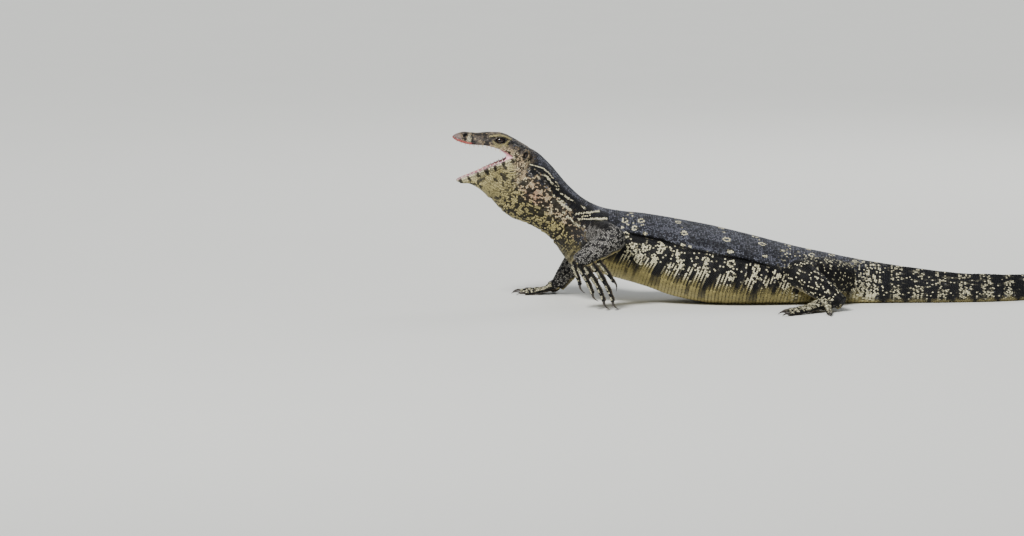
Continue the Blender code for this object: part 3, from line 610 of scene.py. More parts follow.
def shells_object(name: str, forms: list[Rings]) -> bpy.types.Object:
    """One object that holds the closed shells of several forms."""
    points, faces, start = [], [], 0
    for form in forms:
        here, there = form.shell()
        points.append(here)
        faces += [tuple(k + start for k in face) for face in there]
        start += len(here)
    return mesh_object(name, np.concatenate(points), faces)


def ellipsoid(name: str, centre: Point, half: Point, tilt: float = 0.0) -> bpy.types.Object:
    """A ball stretched to its half sizes and tilted about Y, with its place in its mesh.

    Args:
        name: the object's name.
        centre: its middle.
        half: its half sizes.
        tilt: degrees about Y.

    Returns:
        The new object.
    """
    bpy.ops.object.select_all(action="DESELECT")
    bpy.ops.mesh.primitive_uv_sphere_add(segments=32, ring_count=16, radius=1)
    made = bpy.context.object
    made.name = name
    turn = Matrix.Rotation(math.radians(tilt), 4, "Y")
    made.data.transform(Matrix.Translation(centre) @ turn @ Matrix.Diagonal((*half, 1)))
    return made


def joined(objects: list[bpy.types.Object]) -> bpy.types.Object:
    """The objects joined into the first."""
    activate(objects[0])
    for other in objects[1:]:
        other.select_set(True)
    if len(objects) > 1:
        bpy.ops.object.join()
    return objects[0]


def apply_modifiers(obj: bpy.types.Object) -> None:
    """Applies the object's modifiers in their order."""
    activate(obj)
    for modifier in list(obj.modifiers):
        bpy.ops.object.modifier_apply(modifier=modifier.name)


def remeshed(obj: bpy.types.Object, voxel: float, smoothing: int) -> None:
    """One even skin round whatever the object holds, smoothed that many times."""
    remesh = obj.modifiers.new("Even skin", "REMESH")
    remesh.mode = "VOXEL"
    remesh.voxel_size = voxel
    soften = obj.modifiers.new("Soften", "SMOOTH")
    soften.factor = 0.5
    soften.iterations = smoothing
    apply_modifiers(obj)


def cut_away(obj: bpy.types.Object, cutters: list[bpy.types.Object]) -> None:
    """Cuts the closed shapes out of the object and removes them."""
    group = bpy.data.collections.new("Cutters")
    bpy.context.scene.collection.children.link(group)
    for cutter in cutters:
        for old in list(cutter.users_collection):
            old.objects.unlink(cutter)
        group.objects.link(cutter)
    cut = obj.modifiers.new("Hollows", "BOOLEAN")
    cut.operation, cut.solver = "DIFFERENCE", "MANIFOLD"
    cut.operand_type, cut.collection = "COLLECTION", group
    apply_modifiers(obj)
    for cutter in cutters:
        bpy.data.objects.remove(cutter)
    bpy.data.collections.remove(group)


def thinned(obj: bpy.types.Object, triangles: int) -> None:
    """Reduces the object to about that many triangles, finest where it curves."""
    now = sum(len(face.vertices) - 2 for face in obj.data.polygons)
    if now > triangles:
        thin = obj.modifiers.new("Thin", "DECIMATE")
        thin.ratio = triangles / now
        apply_modifiers(obj)


def points_of(obj: bpy.types.Object) -> tuple[np.ndarray, np.ndarray]:
    """Places and normals of the object's vertices."""
    count = len(obj.data.vertices)
    places, normals = np.empty(count * 3), np.empty(count * 3)
    obj.data.vertices.foreach_get("co", places)
    obj.data.vertices.foreach_get("normal", normals)
    return places.reshape(-1, 3), normals.reshape(-1, 3)


def triangles_of(obj: bpy.types.Object) -> np.ndarray:
    """The three vertices of each of the object's triangles."""
    obj.data.calc_loop_triangles()
    corners = np.empty(len(obj.data.loop_triangles) * 3, np.int32)
    obj.data.loop_triangles.foreach_get("vertices", corners)
    return corners.reshape(-1, 3)


def move_points(obj: bpy.types.Object, places: np.ndarray) -> None:
    """Gives the object's vertices new places."""
    obj.data.vertices.foreach_set("co", places.ravel())
    obj.data.update()


def paint(obj: bpy.types.Object, colours: np.ndarray, wet: np.ndarray) -> None:
    """Stores the markings and the wetness of each vertex on the mesh.

    Args:
        obj: the piece.
        colours: one linear colour a vertex.
        wet: how moist it is, from 0 to 1.
    """
    layer = obj.data.color_attributes.new("Markings", "FLOAT_COLOR", "POINT")
    layer.data.foreach_set("color", np.column_stack([colours, np.ones(len(colours))]).ravel())
    moist = obj.data.attributes.new("Wet", "FLOAT", "POINT")
    moist.data.foreach_set("value", wet.astype(np.float32))


# Where a place lies on the animal


BODY_STATIONS = [*TRUNK, *tail_stations()]
# the plane between the skins of head and neck, at the trunk's second station
NECK_LEAN = math.radians(TRUNK[1].lean)
NECK_WAY = np.array((math.cos(NECK_LEAN), 0.0, -math.sin(NECK_LEAN)))
NECK_POINT = np.array((TRUNK[1].x, TRUNK[1].y, TRUNK[1].z)) + NECK_WAY * 0.003
HEAD_END = -0.14  # nothing of the head lies behind this x
SEAM = 0.0008  # how far behind the plane the neck's scales begin


class Part(Enum):
    """The regions whose scales and markings differ."""

    BODY = 1
    LIMB = 2
    DIGIT = 3


class Chart:
    """Paths through body, limbs and digits, and which of them a place belongs to."""

    def __init__(self) -> None:
        """Lays the paths from the same sizes as the forms."""
        self.body = Path(
            np.array([(s.x, s.y, s.z) for s in BODY_STATIONS]),
            np.array([s.half_width for s in BODY_STATIONS]),
            np.array([s.up for s in BODY_STATIONS]),
            0.0025,
        )
        self.paths = [self.body]
        self.parts = [Part.BODY]
        self.limbs = [-1]
        for number, limb in enumerate(LIMBS):
            root, bend, end = (np.array(p) for p in limb.joints)
            line = np.array([root, (root + bend) / 2, bend, bend + (end - bend) * 0.38, end])
            radii = np.array(limb.radii)
            self.add(Path(line, radii, radii, 0.002), Part.LIMB, number)
            for digit in digits_of(limb):
                points = np.array([tuple(p) for p in bent_path(digit)])
                radii = digit.radius * np.linspace(1, TOE_TAPER, len(points))
                top = (-1.0, 0.0, 0.25) if limb.hanging else (0.0, 0.0, 1.0)
                self.add(Path(points, radii, radii, 0.001, top), Part.DIGIT, number)

    def add(self, path: Path, part: Part, limb: int) -> None:
        """Adds one path."""
        self.paths.append(path)
        self.parts.append(part)
        self.limbs.append(limb)


@dataclass
class Places:
    """Many places on the animal, each with its coordinates about the path it belongs to."""

    point: np.ndarray
    normal: np.ndarray
    path: np.ndarray
    along: np.ndarray
    angle: np.ndarray
    radius: np.ndarray

    @classmethod
    def find(cls, chart: Chart, point: np.ndarray, normal: np.ndarray) -> "Places":
        """Finds for each point the path whose form it lies on.

        Args:
            chart: the animal's paths.
            point: the places.
            normal: the skin's normals there.

        Returns:
            The places with their coordinates.
        """
        best = np.full(len(point), 9.0)
        path = np.zeros(len(point), int)
        along, angle = np.zeros(len(point)), np.zeros(len(point))
        for number, line in enumerate(chart.paths):
            low = line.centres.min(0) - line.widths.max() * 2.2
            high = line.centres.max(0) + line.widths.max() * 2.2
            near = np.nonzero(np.all((point > low) & (point < high), axis=1))[0]
            if not len(near):
                continue
            a, t, reach = line.locate(point[near])
            closer = reach < best[near]
            chosen = near[closer]
            best[chosen], path[chosen] = reach[closer], number
            along[chosen], angle[chosen] = a[closer], t[closer]
        radius = np.empty(len(point))
        for number in np.unique(path):
            line = chart.paths[number]
            here = path == number
            radius[here] = np.interp(along[here], line.along, (line.widths + line.depths) / 2)
        return cls(point, normal, path, along, angle, radius)

    def down(self) -> np.ndarray:
        """Degrees from the ridge, on either side."""
        return np.abs(self.angle)

    def arc(self, angle: np.ndarray) -> np.ndarray:
        """How far round its form an angle reaches at each place, in metres."""
        return np.radians(angle) * self.radius

    def neck(self) -> np.ndarray:
        """How far each place lies behind the plane between head and neck."""
        return (self.point - NECK_POINT) @ NECK_WAY


# Markings


CHARCOAL = shade(29, 30, 37)
BLACK = shade(8, 8, 10)
BEADED = shade(30, 27, 26)
# painted reflection of the sky, laid on the tips of random charcoal scales
SKY_GLINT = shade(136, 138, 152)
BEAD = shade(188, 184, 176)
CREAM = shade(236, 228, 190)
STRAW = shade(186, 173, 120)
OLIVE = shade(140, 129, 82)
TAN = shade(182, 160, 126)
ROSE = shade(206, 142, 116)
RED_LIP = shade(182, 84, 78)
PALE_LIP = shade(222, 184, 188)
SNOUT_GREY = shade(156, 136, 132)
LAVENDER = shade(214, 176, 196)
BROWN_GREY = shade(98, 88, 79)
FLESH = shade(216, 158, 156)
DEEP_FLESH = shade(176, 100, 106)
# the throat's redder flesh, also used as painted shade deeper in the mouth
SHADED_THROAT_FLESH = shade(150, 74, 82)
IRIS, IRIS_STREAK, GOLD_RING = shade(23, 16, 14), shade(40, 26, 18), shade(132, 94, 46)
PUPIL, EYE_RIM = shade(4, 4, 5), shade(20, 15, 13)
TONGUE, TONGUE_TIP = shade(206, 138, 150), shade(88, 70, 96)
SOLE, EAR_DRUM = shade(112, 100, 84), shade(104, 84, 72)
BETWEEN_SCALES = 0.14  # the skin that shows between the scales is painted darker than they are: partly its own darker colour, partly painted shade in the gaps


@dataclass(frozen=True)
class Ocellus:
    """A ring or spot of pale scales, placed along and round the body."""

    along: float
    angle: float
    radius: float
    line: float = 0.0021
    stretch: float = 1.0

    def share(self, radius: np.ndarray, along: np.ndarray, down: np.ndarray, warp: np.ndarray) -> np.ndarray:
        """How much of its pale colour shows at each place.

        Args:
            radius: the body's radius at each place.
            along: how far along the body each lies.
            down: how far round from the ridge, in degrees.
            warp: noise from -0.5 to 0.5 that makes the ring uneven.

        Returns:
            A share for each, from 0 to 1.
        """
        ahead = (along - self.along) / self.stretch
        beside = np.radians(down - self.angle) * radius
        away = np.hypot(ahead, beside) + 0.0026 * warp
        if self.line > self.radius:
            return disc(away, self.radius)
        return smoothstep(self.line * 0.62, self.line * 0.42, np.abs(away - self.radius))


SPOT = 1.0  # a line as wide as this fills the ring

CREASE_ALONG = (0.2350, 0.2898, 0.3170, 0.3442, 0.3831, 0.4306, 0.4800)  # the flank's long crease
CREASE_ANGLE = (66.0, 64.7, 67.3, 70.0, 70.0, 71.5, 78.0)

BACK_OCELLI = tuple(Ocellus(*row) for row in (
    (0.2370, 11, 0.0026, SPOT), (0.2278, 39, 0.0044), (0.2310, 22, 0.0022, SPOT),
    (0.2534, 34, 0.0042), (0.2458, 54, 0.0040), (0.2632, 60, 0.0026, SPOT),
    (0.2341, 68, 0.0042), (0.2400, 24, 0.0022, SPOT), (0.2560, 46, 0.0020, SPOT),
    (0.2330, 48, 0.0022, SPOT), (0.2420, 44, 0.0020, SPOT), (0.2250, 56, 0.0026, SPOT),
    (0.3119, 19, 0.0044), (0.3251, 46, 0.0048), (0.3060, 2, 0.0026, SPOT),
    (0.3200, 33, 0.0018, SPOT), (0.3279, 65, 0.0024, SPOT, 1.4), (0.3402, 65, 0.0024, SPOT),
    (0.3860, 6, 0.0040), (0.3983, 42, 0.0050), (0.3920, 24, 0.0024, SPOT),
    (0.4065, 64, 0.0026, SPOT, 1.8), (0.4106, 80, 0.0046), (0.4123, 94, 0.0050),
    (0.4430, 10, 0.0040), (0.4548, 34, 0.0046), (0.4500, 22, 0.0018, SPOT),
    (0.4610, 61, 0.0026, SPOT, 1.5), (0.4493, 83, 0.0044), (0.4488, 95, 0.0044),
    (0.4875, 41, 0.0024, SPOT), (0.4973, 50, 0.0042), (0.4960, 14, 0.0038),
    (0.4842, 89, 0.0034, SPOT, 1.3), (0.5040, 70, 0.0032, SPOT, 1.3), (0.4994, 28, 0.0020, SPOT),
    (0.5300, 6, 0.0038), (0.5360, 34, 0.0042), (0.5400, 60, 0.0040),
    (0.5340, 48, 0.0020, SPOT), (0.5680, 14, 0.0038), (0.5750, 44, 0.0040),
    (0.5995, 66, 0.0044), (0.6020, 90, 0.0048), (0.6080, 22, 0.0036),
))

# along, degrees from the ridge, and size of the nets of cream below the flank's crease
ROSETTES = (
    (0.2470, 88, 0.0105), (0.2690, 84, 0.0115), (0.2910, 78, 0.0092), (0.2620, 101, 0.0080),
    (0.2860, 94, 0.0070), (0.3240, 80, 0.0066), (0.3300, 91, 0.0066), (0.3560, 90, 0.0046),
    (0.3695, 82, 0.0060), (0.3740, 93, 0.0066),
)

# middle and half length of the groups of pale bars on the lower flank
BAR_GROUPS = (
    (0.250, 0.013), (0.287, 0.011), (0.325, 0.012), (0.363, 0.017), (0.411, 0.012), (0.4475, 0.0085),
    (0.4720, 0.007), (0.505, 0.011), (0.542, 0.013), (0.580, 0.012),
)


ROW_ALONG = (0.0, 0.14, 0.20, 0.60, 0.72, 1.05, 1.45, 1.66)  # how the rows of scales are spaced on the body
ROW_STEP = (0.0023, 0.0023, 0.0026, 0.0026, 0.0028, 0.0032, 0.0030, 0.0026)
FIRST_ROW = 0.0200


def row_places() -> list[float]:
    """Where each row of scales lies along the body."""
    places = [FIRST_ROW]
    while places[-1] < ROW_ALONG[-1]:
        places.append(places[-1] + float(np.interp(places[-1], ROW_ALONG, ROW_STEP)))
    return places


def row_lean(down: np.ndarray) -> np.ndarray:
    """How far forward the rows of scales have moved where they reach the flank's lower half."""
    return 0.0105 * smoothstep(76, 122, down)


class Scatter:
    """Spots in a jittered grid, for dots of uneven size and place."""

    def __init__(self, seed: int) -> None:
        """Draws the spots."""
        self.cells = np.random.default_rng(seed).random((64, 64, 3))

    def near(self, ahead: np.ndarray, beside: np.ndarray, size: float) -> tuple[np.ndarray, np.ndarray]:
        """Distance to the nearest spot.

        Args:
            ahead: places along the surface.
            beside: places across it.
            size: the grid's spacing.

        Returns:
            The distance, and a random share that belongs to that spot.
        """
        u, v = ahead / size, beside / size
        i, j = np.floor(u).astype(int), np.floor(v).astype(int)
        best, share = np.full(len(u), 9.0), np.zeros(len(u))
        for a in (-1, 0, 1):
            for b in (-1, 0, 1):
                cell = self.cells[(i + a) % 64, (j + b) % 64]
                away = np.hypot(u - i - a - 0.15 - 0.7 * cell[:, 0], v - j - b - 0.15 - 0.7 * cell[:, 1])
                share = np.where(away < best, cell[:, 2], share)
                best = np.minimum(best, away)
        return best * size, share

    def dots(
        self, ahead: np.ndarray, beside: np.ndarray, size: float,
        least: float, most: float, full: float = 1.0,
    ) -> np.ndarray:
        """Dots of uneven radius.

        Args:
            ahead: places along the surface.
            beside: places across it.
            size: the grid's spacing.
            least: the smallest dot's radius.
            most: the largest dot's.
            full: the share of the grid's cells that hold a dot.

        Returns:
            1 inside a dot, 0 outside.
        """
        away, share = self.near(ahead, beside, size)
        radius = least + (most - least) * share / full
        return disc(away, radius, 0.0003) * (share < full)


class Markings:
    """The animal's colours, read by skin and scales alike."""

    def __init__(self, chart: Chart) -> None:
        """Sets the noises of the blotches and dots."""
        self.chart = chart
        self.blotch, self.fine, self.ragged = Noise(3), Noise(11), Noise(29)
        self.scatter = Scatter(17)
        self.rows = row_places()

    def of(self, places: Places) -> np.ndarray:
        """The colour of each place.

        Args:
            places: places anywhere on the animal.

        Returns:
            One linear colour for each.
        """
        parts = np.array([p.value for p in self.chart.parts])[places.path]
        result = self.trunk(places)
        result = np.where((parts == Part.LIMB.value)[:, None], self.limb(places), result)
        result = np.where((parts == Part.DIGIT.value)[:, None], self.toes(places), result)
        result = self.shoulder(places, result)
        head = smoothstep(0.010, -0.010, places.neck() + 0.012 * (self.ragged.at(places.point, 0.006) - 0.5))
        head = np.where((parts == Part.BODY.value) & (places.point[:, 0] < HEAD_END), head, 0)
        return mixed(result, self.head(places), head)

    def trunk(self, places: Places) -> np.ndarray:
        """Neck, torso and tail together."""
        along = places.along
        clouds = smoothstep(0.45, 0.75, self.blotch.at(places.point, 0.009))
        colour = mixed(CHARCOAL, BLACK, clouds * 0.35)
        colour = self.neck(places, colour, smoothstep(0.190, 0.135, along))
        middle = smoothstep(0.150, 0.200, along) * smoothstep(0.650, 0.610, along)
        colour = self.torso(places, colour, middle)
        return self.tail(places, colour, smoothstep(0.590, 0.640, along))

    def shoulder(self, places: Places, colour: np.ndarray) -> np.ndarray:
        """Cream lines that sweep over the shoulder, with a black fold under them."""
        x, y, z = places.point.T
        rag = self.ragged.at(places.point, 0.0050) - 0.5
        outer = np.abs(y) > 0.018
        held = outer * smoothstep(-0.108, -0.104, x) * smoothstep(-0.048, -0.056, x)
        colour = mixed(colour, BLACK, held * bump(z, 0.1385 + 0.004 * rag, 0.0085) * 0.85)
        for start, stop, first, last, width in (
            (-0.104, -0.066, 0.1452, 0.1482, 0.0011), (-0.101, -0.053, 0.1368, 0.1374, 0.0012),
            (-0.096, -0.080, 0.1400, 0.1430, 0.0008),
        ):
            line = np.interp(x, (start, stop), (first, last)) + 0.0016 * rag
            cream = disc(np.abs(z - line), width, 0.0003)
            colour = mixed(colour, CREAM, outer * cream * (x > start) * (x < stop) * 0.92)
        return colour

    def neck(self, places: Places, colour: np.ndarray, share: np.ndarray) -> np.ndarray:
        """Charcoal nape, black band with wavy cream lines, speckled tan side, blotched yellow throat."""
        point, down, along = places.point, places.down(), places.along
        rag, soft = self.ragged.at(point, 0.0060) - 0.5, self.blotch.at(point, 0.016) - 0.5
        fine, grit = self.fine.at(point, 0.0027), self.ragged.at(point, 0.0030)
        rear = smoothstep(0.05, 0.12, along)
        side = share * smoothstep(50, 60, down + rag * 22 + soft * 22 - 8 * rear)
        ground = mixed(TAN, CREAM, smoothstep(0.5, 0.7, grit) * 0.45)
        rosy = np.exp(-(((point[:, 0] + 0.171) ** 2 + (point[:, 2] - 0.172) ** 2) / 0.016**2))
        ground = mixed(ground, ROSE, rosy * 0.38)
        yellow = smoothstep(94, 116, down + rag * 20)
        ground = mixed(mixed(ground, STRAW, yellow), OLIVE, yellow * 0.35)
        marks = smoothstep(0.455, 0.515, fine + 0.16 * soft - 0.05 * yellow + 0.03 * rear)
        blotches = smoothstep(0.70, 0.75, self.blotch.at(point, 0.0050) + 0.20 * soft + 0.06 * rear)
        ground = mixed(ground, BLACK, np.maximum(marks, blotches) * 0.94)
        colour = mixed(colour, BLACK, share * bump(down, 46, 15) * 0.85)
        colour = mixed(colour, ground, side)
        patch = np.hypot((along - 0.094) / 0.019, (down - 53) / 8.5) + rag * 0.5
        colour = mixed(colour, BLACK, share * smoothstep(1.05, 0.85, patch))
        cream = smoothstep(0.16, 0.08, np.abs(patch - 1.18)) * smoothstep(0.40, 0.52, grit)
        for middle, swing, turns, start, stop, width in (
            (45, 4, 78, 0.058, 0.150, 0.0013), (63, 6, 64, 0.100, 0.160, 0.0014),
            (36, 5, 70, 0.020, 0.090, 0.0010), (78, 5, 60, 0.118, 0.180, 0.0014),
        ):
            line = middle + swing * np.sin(along * turns + 2.0 * soft) + 5 * rag
            close = np.abs(places.arc(down - line))
            held = smoothstep(start - 0.003, start + 0.003, along)
            held = held * smoothstep(stop + 0.003, stop - 0.003, along)
            cream = np.maximum(cream, held * smoothstep(width + 0.0004, width - 0.0003, close))
        shoulder = smoothstep(0.225, 0.205, along) * smoothstep(0.118, 0.130, along) * bump(down, 63, 16)
        colour = mixed(colour, BLACK, shoulder * 0.9)
        cream = cream * smoothstep(0.40, 0.48, self.fine.at(point, 0.0055)) * smoothstep(0.222, 0.205, along)
        return mixed(colour, CREAM, cream * 0.92)

    def torso(self, places: Places, colour: np.ndarray, share: np.ndarray) -> np.ndarray:
        """Rows of rings above the crease, nets of cream below it, barred flank and yellow belly, and painted
        shade along the crease.
        """
        point, down = places.point, places.down()
        right = places.angle < 0
        along = places.along + np.where(right, 0.007 * np.sin(places.along * 55.0 + 1.0), 0.0)
        rag, soft = self.ragged.at(point, 0.0055) - 0.5, self.blotch.at(point, 0.017) - 0.5
        arc = places.arc(places.angle)
        line = np.interp(along, CREASE_ALONG, CREASE_ANGLE)
        under = share * smoothstep(-3, 1, down - line + rag * 4)
        colour = mixed(colour, BLACK, under * 0.90)
        # every second row is pale in groups along the lower flank, and the belly lies under them
        row = along + row_lean(down)
        number = np.interp(places.along + row_lean(down), self.rows, range(len(self.rows)))
        between = np.abs(number - 2 * np.round(number / 2))
        group = np.zeros(len(row))
        for middle, half in BAR_GROUPS:
            group = np.maximum(group, disc(np.abs(row - middle), half, 0.002))
        pair = 2.0 * np.round(number / 2) * 0.0041
        lot = self.ragged.at(np.column_stack([pair, 0 * row, 0 * row]), 0.0060) - 0.5
        start = smoothstep(92 + 14 * lot, 96 + 14 * lot, down + 8 * rag)
        bars = share * group * smoothstep(0.62, 0.48, between) * start
        bars = bars * smoothstep(0.30, 0.38, self.ragged.at(point + 0.7, 0.0042))
        belly = share * smoothstep(-7, 7, down - 113 - 14 * lot - 6 * rag + 3 * group)
        ground = mixed(OLIVE, STRAW, smoothstep(120, 156, down) * 0.75)
        ground = mixed(ground, BLACK, smoothstep(0.66, 0.94, between) * 0.75)
        dark = smoothstep(0.12, 0.22, lot) * smoothstep(150, 122, down)
        ground = mixed(ground, BLACK, dark * 0.75)
        barred = mixed(CREAM, OLIVE, smoothstep(98, 116, down))
        colour = mixed(colour, barred, bars * 0.95)
        colour = mixed(colour, ground, belly)
        # nets of cream and small dots on the black flank
        pale = np.zeros(len(point))
        holes = self.scatter.dots(along, arc, 0.0052, 0.0015, 0.0025)
        for middle, angle, size in ROSETTES:
            away = np.hypot(along - middle, places.arc(down - angle) * 0.86) + 0.0045 * rag
            pale = np.maximum(pale, disc(away, size * 0.86) * (1 - holes))
        small = self.scatter.dots(along + 0.5, arc, 0.0066, 0.0010, 0.0017, 0.55)
        pale = np.maximum(pale, small * under * smoothstep(104, 94, down))
        hip = smoothstep(0.475, 0.510, along) * smoothstep(22, 50, down)
        hip_dots = self.scatter.dots(along + 0.9, arc, 0.0072, 0.0011, 0.0021, 0.66)
        pale = np.maximum(pale, hip_dots * hip * share)
        near = np.nonzero(share > 0)[0]
        for ocellus in BACK_OCELLI:
            ring = ocellus.share(places.radius[near], along[near], down[near], rag[near])
            pale[near] = np.maximum(pale[near], ring)
        colour = mixed(colour, CREAM, pale * 0.93 * share * (1 - belly * 0.6))
        # painted shade: black along the flank's crease, in its fold
        close = np.abs(places.arc(down - line))
        crease = share * smoothstep(0.232, 0.246, along) * smoothstep(0.500, 0.480, along)
        return mixed(colour, BLACK, crease * smoothstep(0.0030, 0.0014, close) * 0.95)

    def tail(self, places: Places, colour: np.ndarray, share: np.ndarray) -> np.ndarray:
        """Bands of square rings and spots, with dots between them and bars low on the side."""
        point, down, along = places.point, places.down(), places.along
        rag = self.ragged.at(point, 0.0050) - 0.5
        colour = mixed(colour, BLACK, share * 0.55)
        arc = places.arc(places.angle)
        back = np.maximum(along - 0.640, 0)
        turn = back / (0.0360 - 0.010 * smoothstep(0.2, 0.9, back)) + 0.10 * rag
        band = np.abs(turn - np.round(turn)) * 2
        size = 0.0086 - 0.0022 * smoothstep(0.1, 0.9, back)
        away, lot = self.scatter.near(along / size, arc / size, 1.0)
        away = away * size
        radius = size * (0.20 + 0.16 * lot)
        spots = disc(away, radius)
        eyes = smoothstep(0.0011, 0.0006, away) * (lot > 0.6)
        banded = spots * (1 - eyes) * smoothstep(0.54, 0.44, band + rag * 0.25)
        dots = self.scatter.dots(along + 0.3, arc, 0.0070, 0.0010, 0.0018, 0.45) * smoothstep(18, 40, down)
        wave = np.sin(along * 2 * math.pi / 0.0064 + 3 * rag)
        bars = smoothstep(0.25, 0.5, wave) * smoothstep(92, 104, down)
        bars = bars * smoothstep(0.50, 0.40, band) * smoothstep(140, 120, down)
        pale = np.maximum(np.maximum(banded, dots), bars)
        colour = mixed(colour, CREAM, share * pale * 0.92)
        low = share * smoothstep(128, 150, down + rag * 24) * smoothstep(0.90, 0.62, band + rag * 0.3)
        return mixed(colour, STRAW, low * 0.9)

    def limb(self, places: Places) -> np.ndarray:
        """Limbs: black with close pale beads, and dots and short bars of cream on the thighs."""
        point, down = places.point, places.down()
        kinds = [k >= 0 and LIMBS[k].kind is LimbKind.HIND for k in self.chart.limbs]
        hind = np.array(kinds)[places.path]
        colour = mixed(BEADED, BLACK, hind.astype(float))
        arc = places.arc(places.angle)
        bars = self.scatter.dots(places.along * 0.8, arc, 0.0062, 0.0010, 0.0018, 0.62)
        colour = mixed(colour, CREAM, bars * 0.92 * hind)
        dark = smoothstep(0.64, 0.68, self.blotch.at(point, 0.0034)) * ~hind
        colour = mixed(colour, BLACK, dark)
        under = smoothstep(136, 156, down + 24 * (self.ragged.at(point, 0.008) - 0.5))
        pale = mixed(STRAW, BROWN_GREY, smoothstep(0.45, 0.6, self.fine.at(point, 0.007)) * 0.7)
        return mixed(colour, pale, under)

    def toes(self, places: Places) -> np.ndarray:
        """Digits: black with long cream stripes and cross bars."""
        point, down = places.point, places.down()
        worn = self.fine.at(point, 0.0050)
        stripe = bump(places.angle, 30, 20) * smoothstep(0.30, 0.42, worn)
        other = bump(places.angle, -48, 18) * smoothstep(0.42, 0.54, worn)
        bars = smoothstep(0.45, 0.75, np.sin(places.along * 2 * math.pi / 0.0112)) * smoothstep(84, 62, down)
        colour = mixed(BLACK, CREAM, np.maximum(np.maximum(stripe, other), bars * 0.7) * 0.9)
        return mixed(colour, SOLE, smoothstep(118, 145, down) * 0.8)

    def head(self, places: Places) -> np.ndarray:
        """Head and throat: brown-grey crown, cream brow and lip, dark stripe behind the eye."""
        x, y, z = places.point.T
        side = np.abs(y)
        point = places.point
        rag = self.ragged.at(point, 0.0042) - 0.5
        soft = self.blotch.at(point, 0.010) - 0.5
        fine = self.fine.at(point, 0.0030)
        colour = mixed(BROWN_GREY, BLACK, smoothstep(0.53, 0.62, self.fine.at(point + 0.3, 0.0038)) * 0.80)
        colour = mixed(colour, TAN, smoothstep(0.55, 0.66, fine) * 0.65)
        crown = smoothstep(0.35, 0.75, places.normal[:, 2]) * smoothstep(-0.230, -0.208, x)
        colour = mixed(colour, CHARCOAL, crown * 0.65)
        # snout: pinkish grey tip, cream patch behind the nostril, black bars
        tip = smoothstep(-0.2815, -0.2905, x + rag * 0.008 + 0.25 * (z - 0.264))
        colour = mixed(colour, SNOUT_GREY, tip * 0.85)
        patch = bump(x, -0.2732 + rag * 0.003, 0.0027) * bump(z, 0.2628, 0.0062)
        colour = mixed(colour, CREAM, patch * 0.85)
        colour = mixed(colour, BLACK, bump(x, -0.2678 + rag * 0.003, 0.0019) * 0.9)
        bar = bump(x, -0.2794 + rag * 0.003, 0.0017) * smoothstep(0.2590, 0.2610, z)
        colour = mixed(colour, BLACK, bar * 0.8)
        colour = mixed(colour, BLACK, bump(x, -0.2512 + rag * 0.004, 0.0018) * 0.5 * (side > 0.008))
        # brow stripe and its dark edges
        along = (-0.2420, -0.2330, -0.2250, -0.2176, -0.2112, -0.2040)
        brow = np.interp(x, along, (0.2674, 0.2687, 0.2691, 0.2680, 0.2655, 0.2612))
        inside = smoothstep(-0.243, -0.239, x) * smoothstep(-0.204, -0.208, x) * (side > 0.010)
        colour = mixed(colour, STRAW, inside * bump(z, brow, 0.0015) * 0.9)
        colour = mixed(colour, BLACK, inside * bump(z, brow + 0.0032, 0.0013) * 0.85)
        colour = mixed(colour, BLACK, inside * bump(z, brow - 0.0030, 0.0012) * 0.85)
        # pale patch under the eye, dark stripe from eye to ear
        below = smoothstep(-0.237, -0.233, x) * smoothstep(-0.209, -0.2135, x) * (side > 0.012)
        colour = mixed(colour, STRAW, below * bump(z, 0.2526 + 0.06 * (x + 0.223), 0.0026) * 0.9)
        stripe = np.interp(x, (-0.222, -0.2016, -0.1872, -0.176), (0.2600, 0.2572, 0.2500, 0.243))
        behind = smoothstep(-0.218, -0.213, x) * (side > 0.012)
        width = 0.0034 + 0.05 * np.maximum(x + 0.2, 0)
        colour = mixed(colour, BLACK, behind * bump(z, stripe, width) * 0.95)
        # temple, cheek and throat
        cheek = smoothstep(0.249, 0.240, z + rag * 0.006 + (x + 0.20) * 0.5)
        cheek = cheek * smoothstep(-0.2260, -0.2160, x)
        flank = mixed(TAN, CREAM, smoothstep(0.5, 0.66, self.ragged.at(point, 0.0030)) * 0.4)
        net = smoothstep(0.150, 0.120, np.abs(self.fine.at(point, 0.0040) - 0.46))
        net = net * smoothstep(0.32, 0.40, self.ragged.at(point, 0.0032))
        flank = mixed(flank, BLACK, net * 0.92)
        colour = mixed(colour, flank, cheek)
        # ear: a tan rim round it, black painted shade round the inside of its hollow, and the drum's own
        # colour in the middle
        ear = np.hypot((x - EAR_X - 0.3 * (z - EAR_Z)) / 0.72, z - EAR_Z)
        colour = mixed(colour, TAN, (side > 0.02) * bump(ear, 0.0080, 0.0014) * 0.5 * (x > -0.1840))
        colour = mixed(colour, BLACK, (side > 0.02) * smoothstep(0.0062, 0.0050, ear) * 0.95)
        colour = mixed(colour, EAR_DRUM, (side > 0.02) * smoothstep(0.0036, 0.0024, ear) * 0.8)
        # nostril: its opening painted black, painted shade in the hollow
        nostril = np.hypot((x - NOSTRIL_X) / 0.0042, (z - NOSTRIL_Z - 0.32 * (x - NOSTRIL_X)) / 0.0029)
        colour = mixed(colour, BLACK, (side > 0.008) * smoothstep(1.15, 0.85, nostril))
        lid = np.hypot((x - LIDS_X) / 0.0082, (z - LIDS_Z) / 0.0046)
        lower = bump(lid, 1.42, 0.26) * smoothstep(0.001, -0.001, z - LIDS_Z)
        colour = mixed(colour, STRAW, (side > 0.0150) * lower)
        colour = mixed(colour, BLACK, (side > 0.0150) * smoothstep(1.18, 1.04, lid) * 0.96)
        corners = bump(np.abs(x - LIDS_X), 0.0098, 0.0026) * bump(z, LIDS_Z - 0.0004, 0.0013)
        colour = mixed(colour, BLACK, (side > 0.0150) * corners * 0.9)
